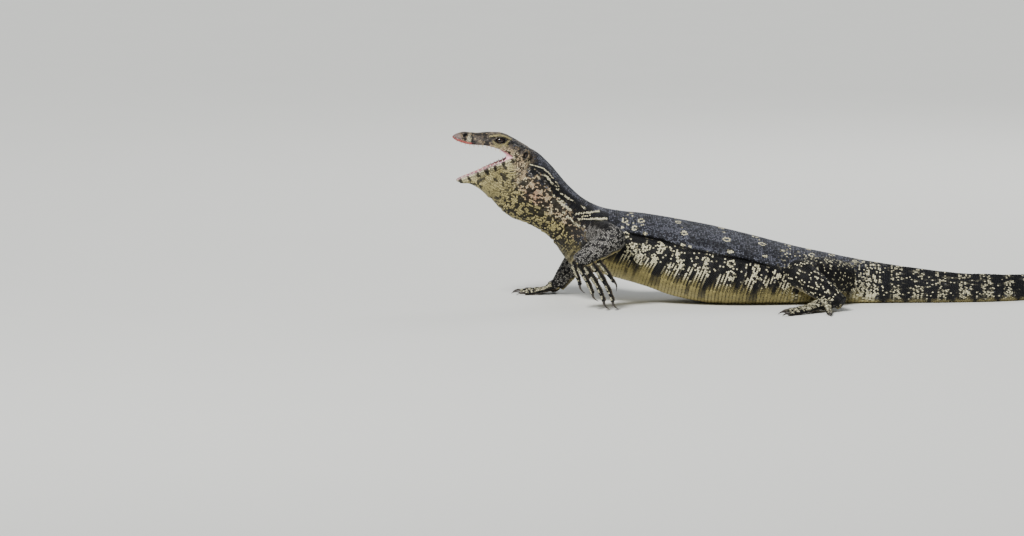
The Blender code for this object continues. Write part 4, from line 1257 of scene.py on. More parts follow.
        # lower jaw: cream with dark bars, yellow throat with dark blotches
        ahead, above = about_jaw(x, z)
        jaw = smoothstep(0.004, 0.0005, above) * smoothstep(-0.004, 0.008, ahead + 0.25 * (above + 0.01))
        ground = mixed(STRAW, OLIVE, smoothstep(0.42, 0.58, self.blotch.at(point, 0.012)) * 0.5)
        ground = mixed(ground, CREAM, smoothstep(-0.012, -0.002, above) * 0.7)
        dark = smoothstep(0.35, 0.65, np.sin(ahead * 2 * math.pi / 0.0150 + 0.4 + soft * 1.2 + rag * 0.8))
        ground = mixed(ground, BLACK, dark * 0.92 * smoothstep(-0.013, -0.009, above + rag * 0.008))
        spots = smoothstep(0.54, 0.60, self.fine.at(point, 0.0036) + 0.30 * soft)
        clouds = self.blotch.at(point, 0.0080) - 1.6 * np.maximum(ahead - 0.045, 0)
        spots = spots * smoothstep(0.42, 0.50, clouds)
        ground = mixed(ground, BLACK, spots * 0.9 * smoothstep(-0.008, -0.014, above))
        colour = mixed(colour, ground, jaw)
        red, pale = self.lip_edges(places)
        return mixed(mixed(colour, PALE_LIP, pale * 0.8), RED_LIP, red * 0.85)

    @staticmethod
    def lip_edges(places: Places) -> tuple[np.ndarray, np.ndarray]:
        """The red edge of the upper lip at the snout, and the pale pink edges of both lips."""
        x, y, z = places.point.T
        lip = z - upper_lip(x)[0]
        red = smoothstep(0.0044, 0.0034, lip) * smoothstep(-0.2665, -0.2715, x) * (z > 0.250)
        ahead, above = about_jaw(x, z)
        upper = bump(lip, 0.0006, 0.0013) * (x < -0.226)
        return red, np.maximum(upper, bump(above, -0.0004, 0.0012) * (ahead > 0.02))


# Skin


@dataclass
class HeadSkin:
    """Head, lower jaw, throat and the front of the neck, with the hollow of the open mouth."""

    voxel: float = 0.00079
    coat_depth: float = 0.0003
    nodes: tuple[str, ...] = ("head", "lower_jaw")
    obj: bpy.types.Object | None = field(default=None, repr=False)

    def build(self) -> bpy.types.Object:
        """Makes the skin in working coordinates."""
        forms = [
            Rings.over_stations(UPPER_HEAD, 90, 64),
            Rings.along_jaw(80, 56),
            Rings.over_stations(THROAT, 60, 64),
            Rings.over_stations(TRUNK[:5], 90, 96),
        ]
        shells = shells_object("skin_head", forms)
        x, y, z = EYE_CENTRE
        swells = []
        for side in (-1, 1):
            swells += [
                ellipsoid("lid", (x, side * y, z), (0.0092, 0.0089, 0.0084)),
                ellipsoid("brow", (x - 0.0040, side * 0.0160, z + 0.0063), (0.0185, 0.0064, 0.0042), 5),
                ellipsoid("nose", (-0.2780, side * 0.0086, 0.2655), (0.0110, 0.0064, 0.0058)),
                ellipsoid("snout", (-0.2570, side * 0.0098, 0.2640), (0.0250, 0.0064, 0.0060), 5),
                ellipsoid("temple", (-0.2000, side * 0.0235, 0.2440), (0.0190, 0.0090, 0.0105), 25),
                ellipsoid("ear_rim", (-0.1815, side * 0.0262, 0.2380), (0.0070, 0.0040, 0.0092), 20),
            ]
        self.obj = joined([shells, *swells])
        remeshed(self.obj, 0.0010, 5)
        cut_away(self.obj, self.hollows())
        self.obj = joined([self.obj, shells_object("corner", [self.corner_web(side) for side in (-1, 1)])])
        remeshed(self.obj, self.voxel, 3)
        return self.obj

    @staticmethod
    def corner_web(side: int) -> Rings:
        """The soft web between the lips at the mouth's corner, drawn in at its front edge."""
        corner = np.array((MOUTH_CORNER[0] + 0.0030, 0.0258, MOUTH_CORNER[1]))
        high = np.array((-0.2250, 0.0236, 0.2472)) - corner
        low = np.array(jaw_point(0.0200, -0.0006, 0.0258)) - corner
        shares = np.linspace(0, 1, 17)[:, None]
        rings = []
        for reach in np.linspace(0.06, 1.0, 26):
            drawn = reach * (1 - 0.50 * reach * 4 * shares * (1 - shares))
            outer = corner + drawn * (high * (1 - shares) + low * shares)
            outer[:, 1:2] -= 0.0022 * reach * np.sin(math.pi * shares)
            inner = outer - np.array((0.0, 0.0017, 0.0))
            rings.append(np.concatenate([outer, inner[::-1]]) * np.array((1, side, 1)))
        return Rings(rings)

    def hollows(self) -> list[bpy.types.Object]:
        """Shapes of the mouth, eye sockets, ears, nostrils and the space behind the skin's rim."""
        x, y, z = EYE_CENTRE
        hollow = EYE_RADIUS + GAP
        cutters = [ellipsoid("mouth", *hollow_of) for hollow_of in MOUTH_HOLLOWS]
        for side in (-1, 1):
            cutters += [
                ellipsoid("socket", (x, side * y, z), (hollow, hollow, hollow)),
                ellipsoid(
                    "slit", (LIDS_X, side * (y + 0.0080), LIDS_Z), (0.0074, 0.0072, 0.0036), LIDS_TILT
                ),
                ellipsoid("ear", (EAR_X, side * 0.0322, EAR_Z), (0.0027, 0.0060, 0.0052), 20),
                ellipsoid("nostril", (NOSTRIL_X, side * 0.0160, NOSTRIL_Z), (0.0031, 0.0074, 0.0021), -18),
            ]
        bpy.ops.mesh.primitive_cylinder_add(vertices=48, radius=0.12, depth=0.3)
        behind = bpy.context.object
        turn = Vector(NECK_WAY).to_track_quat("Z", "Y").to_matrix().to_4x4()
        behind.data.transform(Matrix.Translation(Vector(NECK_POINT + NECK_WAY * 0.156)) @ turn)
        return [*cutters, behind]

    def sculpt(self) -> np.ndarray:
        """Adds lips, lids, folds and wrinkles.

        Returns:
            How far each vertex lies inside the mouth, from 0 to 1.
        """
        place, normal = points_of(self.obj)
        x, y, z = place.T
        side = np.abs(y)
        outer = side > 0.006
        ahead, above = about_jaw(x, z)
        lining = self.inside_mouth(place, normal, ahead, above)
        rise = np.full(len(place), -self.coat_depth)
        lip = z - upper_lip(x)[0]
        face = outer & (x < -0.214) & (lining < 0.5)
        rise += face * (0.0007 * bump(lip, 0.0030, 0.0020) - 0.0005 * bump(lip, 0.0062, 0.0010))
        jaw = (lining < 0.5) & (ahead > 0.004)
        rise += jaw * (0.0006 * bump(above, -0.0026, 0.0018) - 0.0005 * bump(above, -0.0058, 0.0010))
        ex, ez = LIDS_X, LIDS_Z
        turned = math.radians(LIDS_TILT)
        dx = (x - ex) * math.cos(turned) - (z - ez) * math.sin(turned)
        dz = (x - ex) * math.sin(turned) + (z - ez) * math.cos(turned)
        ring = np.hypot(dx / 0.0078, dz / 0.0042)
        lids = (side > 0.0165) & (ring > 0.75)
        rise += lids * (0.0007 * bump(ring, 1.12, 0.14) - 0.0006 * bump(ring, 1.48, 0.13))
        rise += lids * (0.0004 * bump(ring, 1.78, 0.14) - 0.0003 * bump(ring, 2.08, 0.12))
        crow = (side > 0.018) * bump(x, ex + 0.0135, 0.005) * bump(z, ez - 0.003, 0.006)
        rise -= crow * 0.00035 * (1 + np.sin((z - ez + 0.4 * (x - ex)) * 2 * math.pi / 0.0021))
        nose = np.hypot(x - NOSTRIL_X, z - NOSTRIL_Z)
        rise += (side > 0.009) * 0.0006 * bump(nose, 0.0044, 0.0012)
        ear = np.hypot((x - EAR_X) / 0.8, z - EAR_Z)
        rise += (side > 0.02) * (0.0005 * bump(ear, 0.0074, 0.0016) - 0.0004 * bump(ear, 0.0112, 0.0018))
        muscle = (side > 0.015) * bump(x, -0.1940, 0.011) * bump(z, 0.2240, 0.012)
        rise += 0.0012 * muscle
        # fine wrinkles behind the jaw's angle, and loops under the throat
        loop = np.hypot(x + 0.2060, (z - 0.2350) * 0.9)
        loose = smoothstep(0.017, 0.024, loop) * smoothstep(0.062, 0.046, loop)
        loose = loose * (z < 0.232) * (lining < 0.5)
        wave = np.sin(loop * 2 * math.pi / 0.0040 + 1.6 * np.sin(x * 160.0) + 1.2 * np.sin(side * 190.0))
        rise += loose * 0.00070 * wave * (side > 0.004)
        crease = np.abs(z - (0.2300 - 0.75 * (x + 0.205)))
        rise -= (x > -0.208) * (x < -0.180) * (side > 0.015) * 0.0010 * np.exp(-((crease / 0.0011) ** 2))
        rise += self.at_corner(place) * 0.00030 * np.sin((x + 1.4 * z) * 2 * math.pi / 0.0034)
        rise *= 1 - 0.8 * lining
        place = place + normal * rise[:, None]
        past = (place - NECK_POINT) @ NECK_WAY
        tuck = smoothstep(0.0015, 0.0055, past) * 0.0011
        place -= normal * tuck[:, None]
        move_points(self.obj, place)
        return lining

    @staticmethod
    def inside_mouth(
        place: np.ndarray, normal: np.ndarray, ahead: np.ndarray, above: np.ndarray
    ) -> np.ndarray:
        """Whether each vertex belongs to the mouth's moist lining.

        Args:
            place: vertices of the skin.
            normal: their normals.
            ahead: how far along the lower jaw each lies.
            above: how far above its lip.

        Returns:
            0 for skin, 1 for lining.
        """
        x, y, z = place.T
        low, half = upper_lip(x)
        roof = (np.abs(y) < half - 0.0016) & (z < low + 0.0120) & (normal[:, 2] < -0.25) & (x < -0.1990)
        roof &= (above > 0.002) & (z > 0.236)
        floor_of = np.abs(y) < jaw_half(ahead) - 0.0013
        floor_of &= (above < 0.004) & (above > -0.0085) & (normal[:, 2] > 0.25) & (ahead > -0.006)
        wet = roof | floor_of
        for centre, halves_of, tilt in MOUTH_HOLLOWS:
            turn = np.array(Matrix.Rotation(math.radians(tilt), 3, "Y"))
            wet |= np.linalg.norm((place - centre) @ turn / halves_of, axis=1) < 1.07
        return wet.astype(float)

    @staticmethod
    def at_corner(place: np.ndarray) -> np.ndarray:
        """How much of the soft fold at the mouth's corner each place belongs to."""
        x, y, z = place.T
        above = about_jaw(x, z)[1]
        between = smoothstep(0.0022, 0.0010, z - upper_lip(x)[0]) * smoothstep(-0.0006, 0.0004, above)
        between = between * smoothstep(-0.2285, -0.2270, x) * smoothstep(-0.2010, -0.2030, x)
        return between * (np.abs(y) > 0.0165)

    def colour(self, markings: Markings, chart: Chart, lining: np.ndarray) -> Places:
        """Paints the skin, its lining, and returns where its vertices lie."""
        place, normal = points_of(self.obj)
        places = Places.find(chart, place, normal)
        colours = markings.of(places)
        soft = markings.blotch.at(place, 0.006)
        flesh = mixed(FLESH, DEEP_FLESH, soft * 0.6)
        # painted shade: the flesh darkens towards the back of the mouth, partly the throat's own redder
        # colour
        depth = smoothstep(-0.232, -0.206, place[:, 0])
        flesh = mixed(flesh, SHADED_THROAT_FLESH, depth * 0.5)
        corner = self.at_corner(place)
        # the head's skin between its scales is darkened to 0.26, partly its own colour and partly painted
        # shade in the gaps; the lining keeps 0.62 of the flesh colour
        colours = mixed(colours * 0.26, flesh * 0.62, smoothstep(0.2, 0.8, lining))
        colours = mixed(colours, mixed(LAVENDER, FLESH, soft), corner)
        paint(self.obj, colours, np.maximum(lining, corner * 0.7))
        return places


@dataclass
class BodySkin:
    """Neck, torso, tail and limbs in one skin."""

    voxel: float = 0.00125
    triangles: int = 190000
    coat_depth: float = 0.00035
    obj: bpy.types.Object | None = field(default=None, repr=False)

    @staticmethod
    def nodes() -> list[str]:
        """The solids of flesh that this skin stands for."""
        names = ["neck", "torso_front", "torso_rear", *(f"tail_{k}" for k in range(1, 5))]
        for limb in LIMBS:
            names += limb.nodes()
        return names

    def build(self) -> bpy.types.Object:
        """Makes the skin in working coordinates."""
        forms = [
            Rings.over_stations(BODY_STATIONS, 420, 96, trunk=True),
            Rings.over_stations(THROAT, 40, 48),
        ]
        knobs = []
        for limb in LIMBS:
            root, bend, end = (Vector(p) for p in limb.joints)
            r0, r1, r2, r3, r4 = limb.radii
            past = end + (end - bend).normalized() * r4
            forms.append(Rings.tube([root, root.lerp(bend, 0.5), bend], [r0, r1, r2], 36, 40))
            forms.append(
                Rings.tube([bend, bend.lerp(end, 0.38), end, past], [r2 * 0.97, r3, r4, r4 * 0.85], 36, 40)
            )
            knobs.append(ellipsoid("joint", bend, (r2, r2, r2)))
            forms += self.foot(limb)
            digits = digits_of(limb)
            middle = middle_of(digits)
            size = (middle - end).length
            knobs.append(ellipsoid("pad", end.lerp(middle, 0.62), (size * 0.42, size * 0.36, size * 0.30)))
        self.obj = joined([shells_object("skin_body", forms), *knobs])
        remeshed(self.obj, self.voxel, 4)
        return self.obj

    @staticmethod
    def foot(limb: Limb) -> list[Rings]:
        """The rays of the foot and its toes with their knuckles."""
        wrist = Vector(limb.joints[2])
        digits = digits_of(limb)
        middle = middle_of(digits)
        forms = []
        for digit in digits:
            root = Vector(digit.root)
            start = wrist + (root - middle) * WRIST_SPREAD
            radii = [limb.radii[4] * 0.72, limb.toe_radius * 1.35, limb.toe_radius * 1.04]
            forms.append(Rings.tube([start, start.lerp(root, 0.5), root], radii, 20, 20))
            points = bent_path(digit, 17)
            shares = np.linspace(0, 1, len(points))
            radii = digit.radius * (1 - (1 - TOE_TAPER) * shares) * (1 + 0.10 * np.cos(shares * 6 * math.pi))
            forms.append(Rings.tube(points, list(radii), 20, 44))
            tip = points[-1] + (points[-1] - points[-2]).normalized() * 0.0012
            last = float(radii[-1])
            forms.append(Rings.tube([points[-2], points[-1], tip], [last, last * 0.96, last * 0.80], 20, 8))
        return forms

    def sculpt(self, chart: Chart, noise: Noise) -> None:
        """Adds the flank's crease, the neck's folds and wrinkles, and flattens what rests on the floor."""
        place, normal = points_of(self.obj)
        places = Places.find(chart, place, normal)
        parts = np.array([p.value for p in chart.parts])[places.path]
        down, along = places.down(), places.along
        rise = np.full(len(place), -self.coat_depth)
        body = parts == Part.BODY.value
        line = np.interp(along, CREASE_ALONG, CREASE_ANGLE)
        arc = places.arc(down - line)
        held = body * smoothstep(0.228, 0.250, along) * smoothstep(0.490, 0.455, along)
        rise += held * (0.0014 * bump(arc, -0.0044, 0.0032) - 0.0036 * bump(arc, 0.0, 0.0015))
        rise += held * (0.0008 * bump(arc, 0.0046, 0.0030) - 0.0007 * bump(arc, 0.0105, 0.0016))
        # soft vertical folds on the flank
        flank = body * smoothstep(0.21, 0.25, along) * smoothstep(0.53, 0.49, along)
        flank = flank * smoothstep(72, 84, down) * smoothstep(132, 112, down)
        wave = np.sin((along + down * 0.00030) * 2 * math.pi / 0.0165 + 4.0 * noise.at(place, 0.03))
        rise += flank * 0.00075 * wave
        # creases round the neck, deepest at its sides and throat
        for start, lean, depth in (
            (0.030, 0.00022, 0.0010), (0.058, 0.00020, 0.0013), (0.092, 0.00016, 0.0012),
            (0.118, 0.00012, 0.0016), (0.142, 0.00005, 0.0020),
        ):
            fold = along - start + (down - 90) * lean + 0.014 * (noise.at(place, 0.024) - 0.5)
            rise -= body * depth * 0.8 * smoothstep(38, 74, down) * bump(fold, 0.0, 0.0018)
            rise += body * depth * 0.5 * smoothstep(38, 74, down) * bump(fold, 0.0042, 0.0030)
        loose = body * smoothstep(0.17, 0.14, along) * smoothstep(70, 92, down)
        rise += loose * 0.0004 * np.sin((down * 0.00042 + along * 0.30) * 2 * math.pi / 0.0042)
        # wrinkles at elbows, knees, wrists and ankles
        limb = parts == Part.LIMB.value
        for number, path in enumerate(chart.paths):
            if chart.parts[number] is not Part.LIMB:
                continue
            here = limb & (places.path == number)
            bend = path.along[-1] * 0.5
            ring = np.sin(along * 2 * math.pi / 0.0046 + 2.0 * noise.at(place, 0.012))
            near = bump(along, bend, 0.014) + 0.8 * bump(along, path.along[-1] * 0.97, 0.009)
            rise += here * near * 0.00045 * ring
        toes = parts == Part.DIGIT.value
        rise += toes * 0.00025 * np.cos(along * 2 * math.pi / 0.0034)
        rise += (noise.at(place, 0.019) - 0.5) * 0.0009 * (body & (along < 0.9))
        place = place + normal * rise[:, None]
        move_points(self.obj, place)
        thinned(self.obj, self.triangles)
        place, _ = points_of(self.obj)
        place[:, 2] = np.maximum(place[:, 2], 0.0004)
        move_points(self.obj, place)
        self.open_neck()

    def open_neck(self) -> None:
        """Takes off the skin's hidden front, under the head's skin."""
        shell = bmesh.new()
        shell.from_mesh(self.obj.data)
        gone = [v for v in shell.verts if (np.array(v.co) - NECK_POINT) @ NECK_WAY < -0.006]
        bmesh.ops.delete(shell, geom=gone, context="VERTS")
        rim = [e for e in shell.edges if e.is_boundary]
        bmesh.ops.holes_fill(shell, edges=rim, sides=0)
        bmesh.ops.triangulate(shell, faces=[f for f in shell.faces if len(f.verts) > 4])
        shell.to_mesh(self.obj.data)
        shell.free()

    def colour(self, markings: Markings, chart: Chart) -> Places:
        """Paints the skin and returns where its vertices lie."""
        place, normal = points_of(self.obj)
        places = Places.find(chart, place, normal)
        # painted shade: the skin between the scales is darkened, partly its own colour and partly the shade
        # in the gaps
        paint(self.obj, markings.of(places) * BETWEEN_SCALES, np.zeros(len(place)))
        return places


# Scales


class ScaleForm(Enum):
    """The shapes of scales, by the names of the methods that make their templates."""

    DOME = "dome"
    PLATE = "plate"
    KEEL = "keel"


def ring_points(count: int, size: float, height: float, turn: float = 0.0) -> list[Point]:
    """Points of a scale's ring, at unit length and width."""
    angles = [2 * math.pi * k / count + turn for k in range(count)]
    return [(0.5 * size * math.cos(a), 0.5 * size * math.sin(a), height) for a in angles]


@dataclass(frozen=True)
class Template:
    """One scale at unit size: its points, its faces, and how far up it is at each point, from its foot
    painted in shade (0) to its tip painted lit (1).
    """

    points: tuple[Point, ...]
    faces: tuple[tuple[int, ...], ...]
    tip: tuple[float, ...]

    @classmethod
    def dome(cls) -> "Template":
        """A six-sided bead with a rounded top that leans back a little."""
        base = ring_points(6, 1.04, -0.45)
        middle = ring_points(6, 0.82, 0.78)
        points = [*base, *middle, (0.06, 0.0, 1.0)]
        faces = [(0, 5, 4, 3, 2, 1)]
        for k in range(6):
            after = (k + 1) % 6
            faces += [(k, after, 6 + after, 6 + k), (6 + k, 6 + after, 12)]
        return cls(tuple(points), tuple(faces), (0.0,) * 6 + (0.62,) * 6 + (1.0,))

    @classmethod
    def plate(cls) -> "Template":
        """A flat four-cornered scale of the belly."""
        corner = math.pi / 4
        rings = ring_points(4, 1.42, -0.5, corner) + ring_points(4, 1.34, 0.45, corner)
        rings += ring_points(4, 1.06, 0.9, corner)
        faces = [(0, 3, 2, 1), (8, 9, 10, 11)]
        faces += [(s + k, s + (k + 1) % 4, s + 4 + (k + 1) % 4, s + 4 + k) for s in (0, 4) for k in range(4)]
        return cls(tuple(rings), tuple(faces), (0.0,) * 4 + (0.55,) * 4 + (1.0,) * 4)

    @classmethod
    def keel(cls) -> "Template":
        """A long scale with a ridge down its middle."""
        base = ring_points(6, 1.06, -0.4)
        points = [*base, (0.30, 0.0, 1.0), (-0.24, 0.0, 0.72)]
        faces = [(0, 5, 4, 3, 2, 1), (0, 1, 6), (1, 2, 7, 6), (2, 3, 7), (3, 4, 7), (4, 5, 6, 7), (5, 0, 6)]
        return cls(tuple(points), tuple(faces), (0.1,) * 6 + (1.0, 0.8))


@dataclass
class Scale:
    """Where many scales of one form stand, and how large each is."""

    place: np.ndarray
    way: np.ndarray
    length: np.ndarray
    width: np.ndarray
    height: np.ndarray
    form: np.ndarray

    def joined_with(self, others: list["Scale"]) -> "Scale":
        """These scales and others in one set."""
        every = [self, *others]
        return Scale(*(np.concatenate([getattr(s, f.name) for s in every]) for f in fields(self)))

    def only(self, chosen: np.ndarray) -> "Scale":
        """The scales that the mask or the indices choose."""
        return Scale(*(getattr(self, f.name)[chosen] for f in fields(self)))

    @classmethod
    def facing(cls, way: Point, place: np.ndarray, *sizes: object) -> "Scale":
        """Scales that face one way, their length, width, height and form given for each or for all."""
        count = len(place)
        return cls(place, np.tile(way, (count, 1)), *(np.full(count, size) for size in sizes))


class Layout:
    """Lays rows of scales on the skins."""

    def __init__(self, chart: Chart, skins: list[bpy.types.Object], seed: int = 7) -> None:
        """Prepares the skins for finding places on them."""
        self.chart = chart
        self.random = np.random.default_rng(seed)
        points, faces, start = [], [], 0
        for skin in skins:
            place, _ = points_of(skin)
            points.append(place)
            faces.append(triangles_of(skin) + start)
            start += len(place)
        self.tree = BVHTree.FromPolygons(np.concatenate(points).tolist(), np.concatenate(faces).tolist())

    def on_skin(self, places: np.ndarray) -> tuple[np.ndarray, np.ndarray]:
        """The nearest places on the skin, with the normals there."""
        found, normals = np.empty_like(places), np.empty_like(places)
        for k, place in enumerate(places):
            found[k], normals[k], _, _ = self.tree.find_nearest(place)
        return found, normals

    def ring(self, path: Path, along: float, rays: int) -> tuple[np.ndarray, np.ndarray]:
        """Places on the skin round a path.

        Args:
            path: the line.
            along: how far along it.
            rays: how many places to look for round it.

        Returns:
            The places, and whether each was found.
        """
        centre = between_rows(along, path.along, path.centres)
        across = unit(between_rows(along, path.along, path.across))
        upward = unit(between_rows(along, path.along, path.upward))
        half_width = np.interp(along, path.along, path.widths)
        half_depth = np.interp(along, path.along, path.depths)
        turns = np.linspace(-math.pi, math.pi, rays, endpoint=False)
        places, good = np.zeros((rays, 3)), np.zeros(rays, bool)
        for k, turn in enumerate(turns):
            way = across * math.sin(turn) + upward * math.cos(turn)
            radius = 1 / math.hypot(math.sin(turn) / half_width, math.cos(turn) / half_depth)
            reach = radius * 1.10 + min(0.007, radius * 0.8)
            hit, _, _, _ = self.tree.ray_cast(centre + way * reach, -way, reach)
            if hit is not None:
                places[k], good[k] = hit, True
        return places, good

    def rows(self, number: int, spacing: "Spacing", start: float, stop: float) -> Scale:
        """Rows of scales round one path.

        Args:
            number: the path's number in the chart.
            spacing: sizes and forms of its scales.
            start: where the first row lies along it.
            stop: where the last may lie.

        Returns:
            The scales, before those that lie on another form are dropped.
        """
        path = self.chart.paths[number]
        made, along, row = [], start, 0
        while along < stop:
            step = spacing.step(along)
            ring, good = self.ring(path, along, spacing.rays)
            way = between_rows(along, path.along, path.ways)
            middle = spacing.rays // 2
            for side in (1, -1):
                order = (middle + side * np.arange(spacing.rays // 2 + 1)) % spacing.rays
                line, held = ring[order], good[order]
                down = np.linspace(0, 180, len(order))
                gaps = np.linalg.norm(np.diff(line, axis=0), axis=1)
                pitch = spacing.pitch(along, (down[1:] + down[:-1]) / 2)
                counted = np.concatenate([[0], np.cumsum(gaps / pitch)])
                first = 0.5 if row % 2 else (0.0 if side == 1 else 1.0)
                spots = np.arange(first, counted[-1] - 0.25, 1.0)
                if not len(spots):
                    continue
                here = between_rows(spots, counted, line)
                below = np.interp(spots, counted, down)
                here = here - way * (row_lean(below) * spacing.leaning)[:, None]
                k = np.clip(np.searchsorted(counted, spots, side="right") - 1, 0, len(held) - 2)
                keep = held[k] & held[k + 1] & (gaps[k] < 0.012)
                length, width, height, there, form = spacing.sizes(along, below, row, step)
                keep &= there
                made.append(Scale.facing(way, here, length, width, height, form).only(keep))
            along += step
            row += 1
        return made[0].joined_with(made[1:])

    def scattered(self, candidates: np.ndarray, apart: np.ndarray, taken: np.ndarray) -> np.ndarray:
        """Chooses places that keep their distance.

        Args:
            candidates: places to choose from.
            apart: the least distance of each from the others.
            taken: places of the scales that are there already.

        Returns:
            The numbers of the chosen places.
        """
        cell = 0.0035
        grid: dict[tuple[int, int, int], list[np.ndarray]] = {}
        for place in taken:
            grid.setdefault(tuple(np.floor(place / cell).astype(int)), []).append(place)
        chosen = []
        keys = np.floor(candidates / cell).astype(int)
        near = [(i, j, k) for i in (-1, 0, 1) for j in (-1, 0, 1) for k in (-1, 0, 1)]
        for number in self.random.permutation(len(candidates)):
            place, (a, b, c) = candidates[number], keys[number]
            limit = apart[number] ** 2
            clear = True
            for i, j, k in near:
                for other in grid.get((a + i, b + j, c + k), ()):
                    gap = place - other
                    if gap[0] * gap[0] + gap[1] * gap[1] + gap[2] * gap[2] < limit:
                        clear = False
                        break
                if not clear:
                    break
            if clear:
                grid.setdefault((a, b, c), []).append(place)
                chosen.append(number)
        return np.array(chosen, int)


@dataclass(frozen=True)
class Spacing:
    """Sizes of the scales in the rows round the body."""

    rays: int = 144
    leaning: float = 1.0

    def step(self, along: float) -> float:
        """Distance from one row to the next."""
        return float(np.interp(along, ROW_ALONG, ROW_STEP))

    def pitch(self, along: float, down: np.ndarray) -> np.ndarray:
        """Distance from one scale to the next in a row."""
        places, pitches = (0.0, 0.16, 0.24, 0.60, 1.66), (0.0023, 0.0025, 0.0027, 0.0026, 0.0021)
        top = float(np.interp(along, places, pitches))
        return np.interp(down, (0, 96, 108, 180), (top, top, top * 1.18, top * 1.22))

    def sizes(self, along: float, down: np.ndarray, row: int, step: float) -> tuple:
        """Length, width, height, whether each is there, and form."""
        belly = (down > 116) & (along > 0.17)
        pair = row % 2 == 0
        length = np.where(belly, step * 1.86, step * 1.24)
        width = self.pitch(along, down) * np.where(belly, 1.02, 1.10)
        height = np.where(belly, 0.00030, 0.00042)
        form = np.where(belly, 1, 0)
        if along > 0.66:
            tail = along > 0.80
            ridge = np.radians(down) * 0.014 < 0.0022
            length = np.full(len(down), step * 1.26)
            height = np.where(ridge & tail, 0.0013, 0.00055)
            form = np.full(len(down), 2)
            return length, width, height, np.ones(len(down), bool), form
        return length, width, height, ~belly | pair, form

    @staticmethod
    def domes(down: np.ndarray, *sizes: object) -> tuple:
        """A row of domes of given length, width and height, none of them left out."""
        count = len(down)
        return (*(np.full(count, size) for size in sizes), np.ones(count, bool), np.zeros(count, int))


@dataclass(frozen=True)
class LimbSpacing(Spacing):
    """Sizes of the scales round upper arms, forearms, thighs and shanks."""

    rays: int = 72
    leaning: float = 0.0

    def step(self, along: float) -> float:
        """Distance from one row to the next."""
        return 0.0025

    def pitch(self, along: float, down: np.ndarray) -> np.ndarray:
        """Distance from one scale to the next in a row."""
        return np.full(len(down), 0.0024)

    def sizes(self, along: float, down: np.ndarray, row: int, step: float) -> tuple:
        """Length, width, height, whether each is there, and form."""
        return self.domes(down, 0.00310, 0.00264, 0.00042)


@dataclass(frozen=True)
class ToeSpacing(Spacing):
    """Sizes of the scutes and beads round the digits."""

    rays: int = 40
    leaning: float = 0.0

    def step(self, along: float) -> float:
        """Distance from one row to the next."""
        return 0.0029

    def pitch(self, along: float, down: np.ndarray) -> np.ndarray:
        """Distance from one scale to the next in a row."""
        return np.where(down < 42, 0.0027, 0.0022)

    def sizes(self, along: float, down: np.ndarray, row: int, step: float) -> tuple:
        """Length, width, height, whether each is there, and form."""
        return self.domes(down, 0.0034, np.where(down < 42, 0.0031, 0.0025), 0.00036)


class HeadScales:
    """The plates of crown, snout and lips, and the small scales of cheeks and throat."""

    def __init__(self, layout: Layout, skin: bpy.types.Object, lining: np.ndarray) -> None:
        """Keeps what the scales are laid on."""
        self.layout, self.skin, self.lining = layout, skin, lining

    def lips(self) -> Scale:
        """One row of plates along each lip."""
        wanted, tall = [], []
        for side in (-1, 1):
            for x in np.arange(-0.2900, -0.2200, 0.0032):
                low, half = upper_lip(x)
                wanted.append((x, side * (half + 0.001), low + 0.0030))
                tall.append(0.0040)
            for ahead in np.arange(0.006, 0.0900, 0.0033):
                wanted.append(jaw_point(ahead, -0.0026, side * (jaw_half(ahead) + 0.001)))
                tall.append(0.0038)
        return self.placed(np.array(wanted), 0.0040, np.array(tall), 0.00034)

    def over_eyes(self) -> Scale:
        """The broad plates above each eye."""
        wanted = [
            (x, side * (0.0128 + 0.0012 * math.sin((x + 0.236) * 120)), 0.2730)
            for side in (-1, 1)
            for x in np.arange(-0.2370, -0.2120, 0.0031)
        ]
        return self.placed(np.array(wanted), 0.0030, 0.0064, 0.0006)

    def placed(self, wanted: np.ndarray, length: float, width: float | np.ndarray, height: float) -> Scale:
        """Scales of given sizes at the places on the skin next to those that are wanted."""
        place, _ = self.layout.on_skin(wanted)
        return Scale.facing((1.0, 0.0, 0.0), place, length, width, height, 0)

    def everywhere(self, taken: np.ndarray) -> Scale:
        """Small plates over the rest of the head and throat."""
        place, normal = points_of(self.skin)
        x, y, z = place.T
        past = (place - NECK_POINT) @ NECK_WAY
        free = (self.lining < 0.5) & (past < 0.0015)
        ex, ey, ez = EYE_CENTRE
        eye = np.hypot(np.hypot(x - ex, z - ez), np.maximum(np.abs(np.abs(y) - ey) - 0.006, 0))
        ear = np.hypot(np.hypot((x - EAR_X) / 0.8, z - EAR_Z), np.maximum(0.026 - np.abs(y), 0))
        nose = np.hypot(np.hypot(x - NOSTRIL_X, z - 0.2695), np.maximum(0.009 - np.abs(y), 0))
        free &= (np.hypot((x - LIDS_X) / 0.0074, (z - LIDS_Z) / 0.0038) > 1.0) | (np.abs(y) < 0.0165)
        free &= (ear > 0.0058) & (nose > 0.0032) & (HeadSkin.at_corner(place) < 0.5)
        apart = np.full(len(place), 0.00205)
        apart = np.where((normal[:, 2] > 0.45) & (x < -0.195), 0.00235, apart)
        apart = np.where(x < -0.265, 0.0019, apart)
        apart = np.where(eye < 0.0125, 0.00135, apart)
        apart = np.where((z < 0.232) & (x > -0.215), 0.0019, apart)
        numbers = np.nonzero(free)[0]
        chosen = numbers[self.layout.scattered(place[numbers], apart[numbers], taken)]
        size = apart[chosen] * 1.30
        lifted = np.where(normal[chosen, 2] > 0.45, 0.00032, 0.00029)
        return Scale.facing((1.0, 0.0, -0.25), place[chosen], size * 1.06, size * 0.96, lifted, 0)


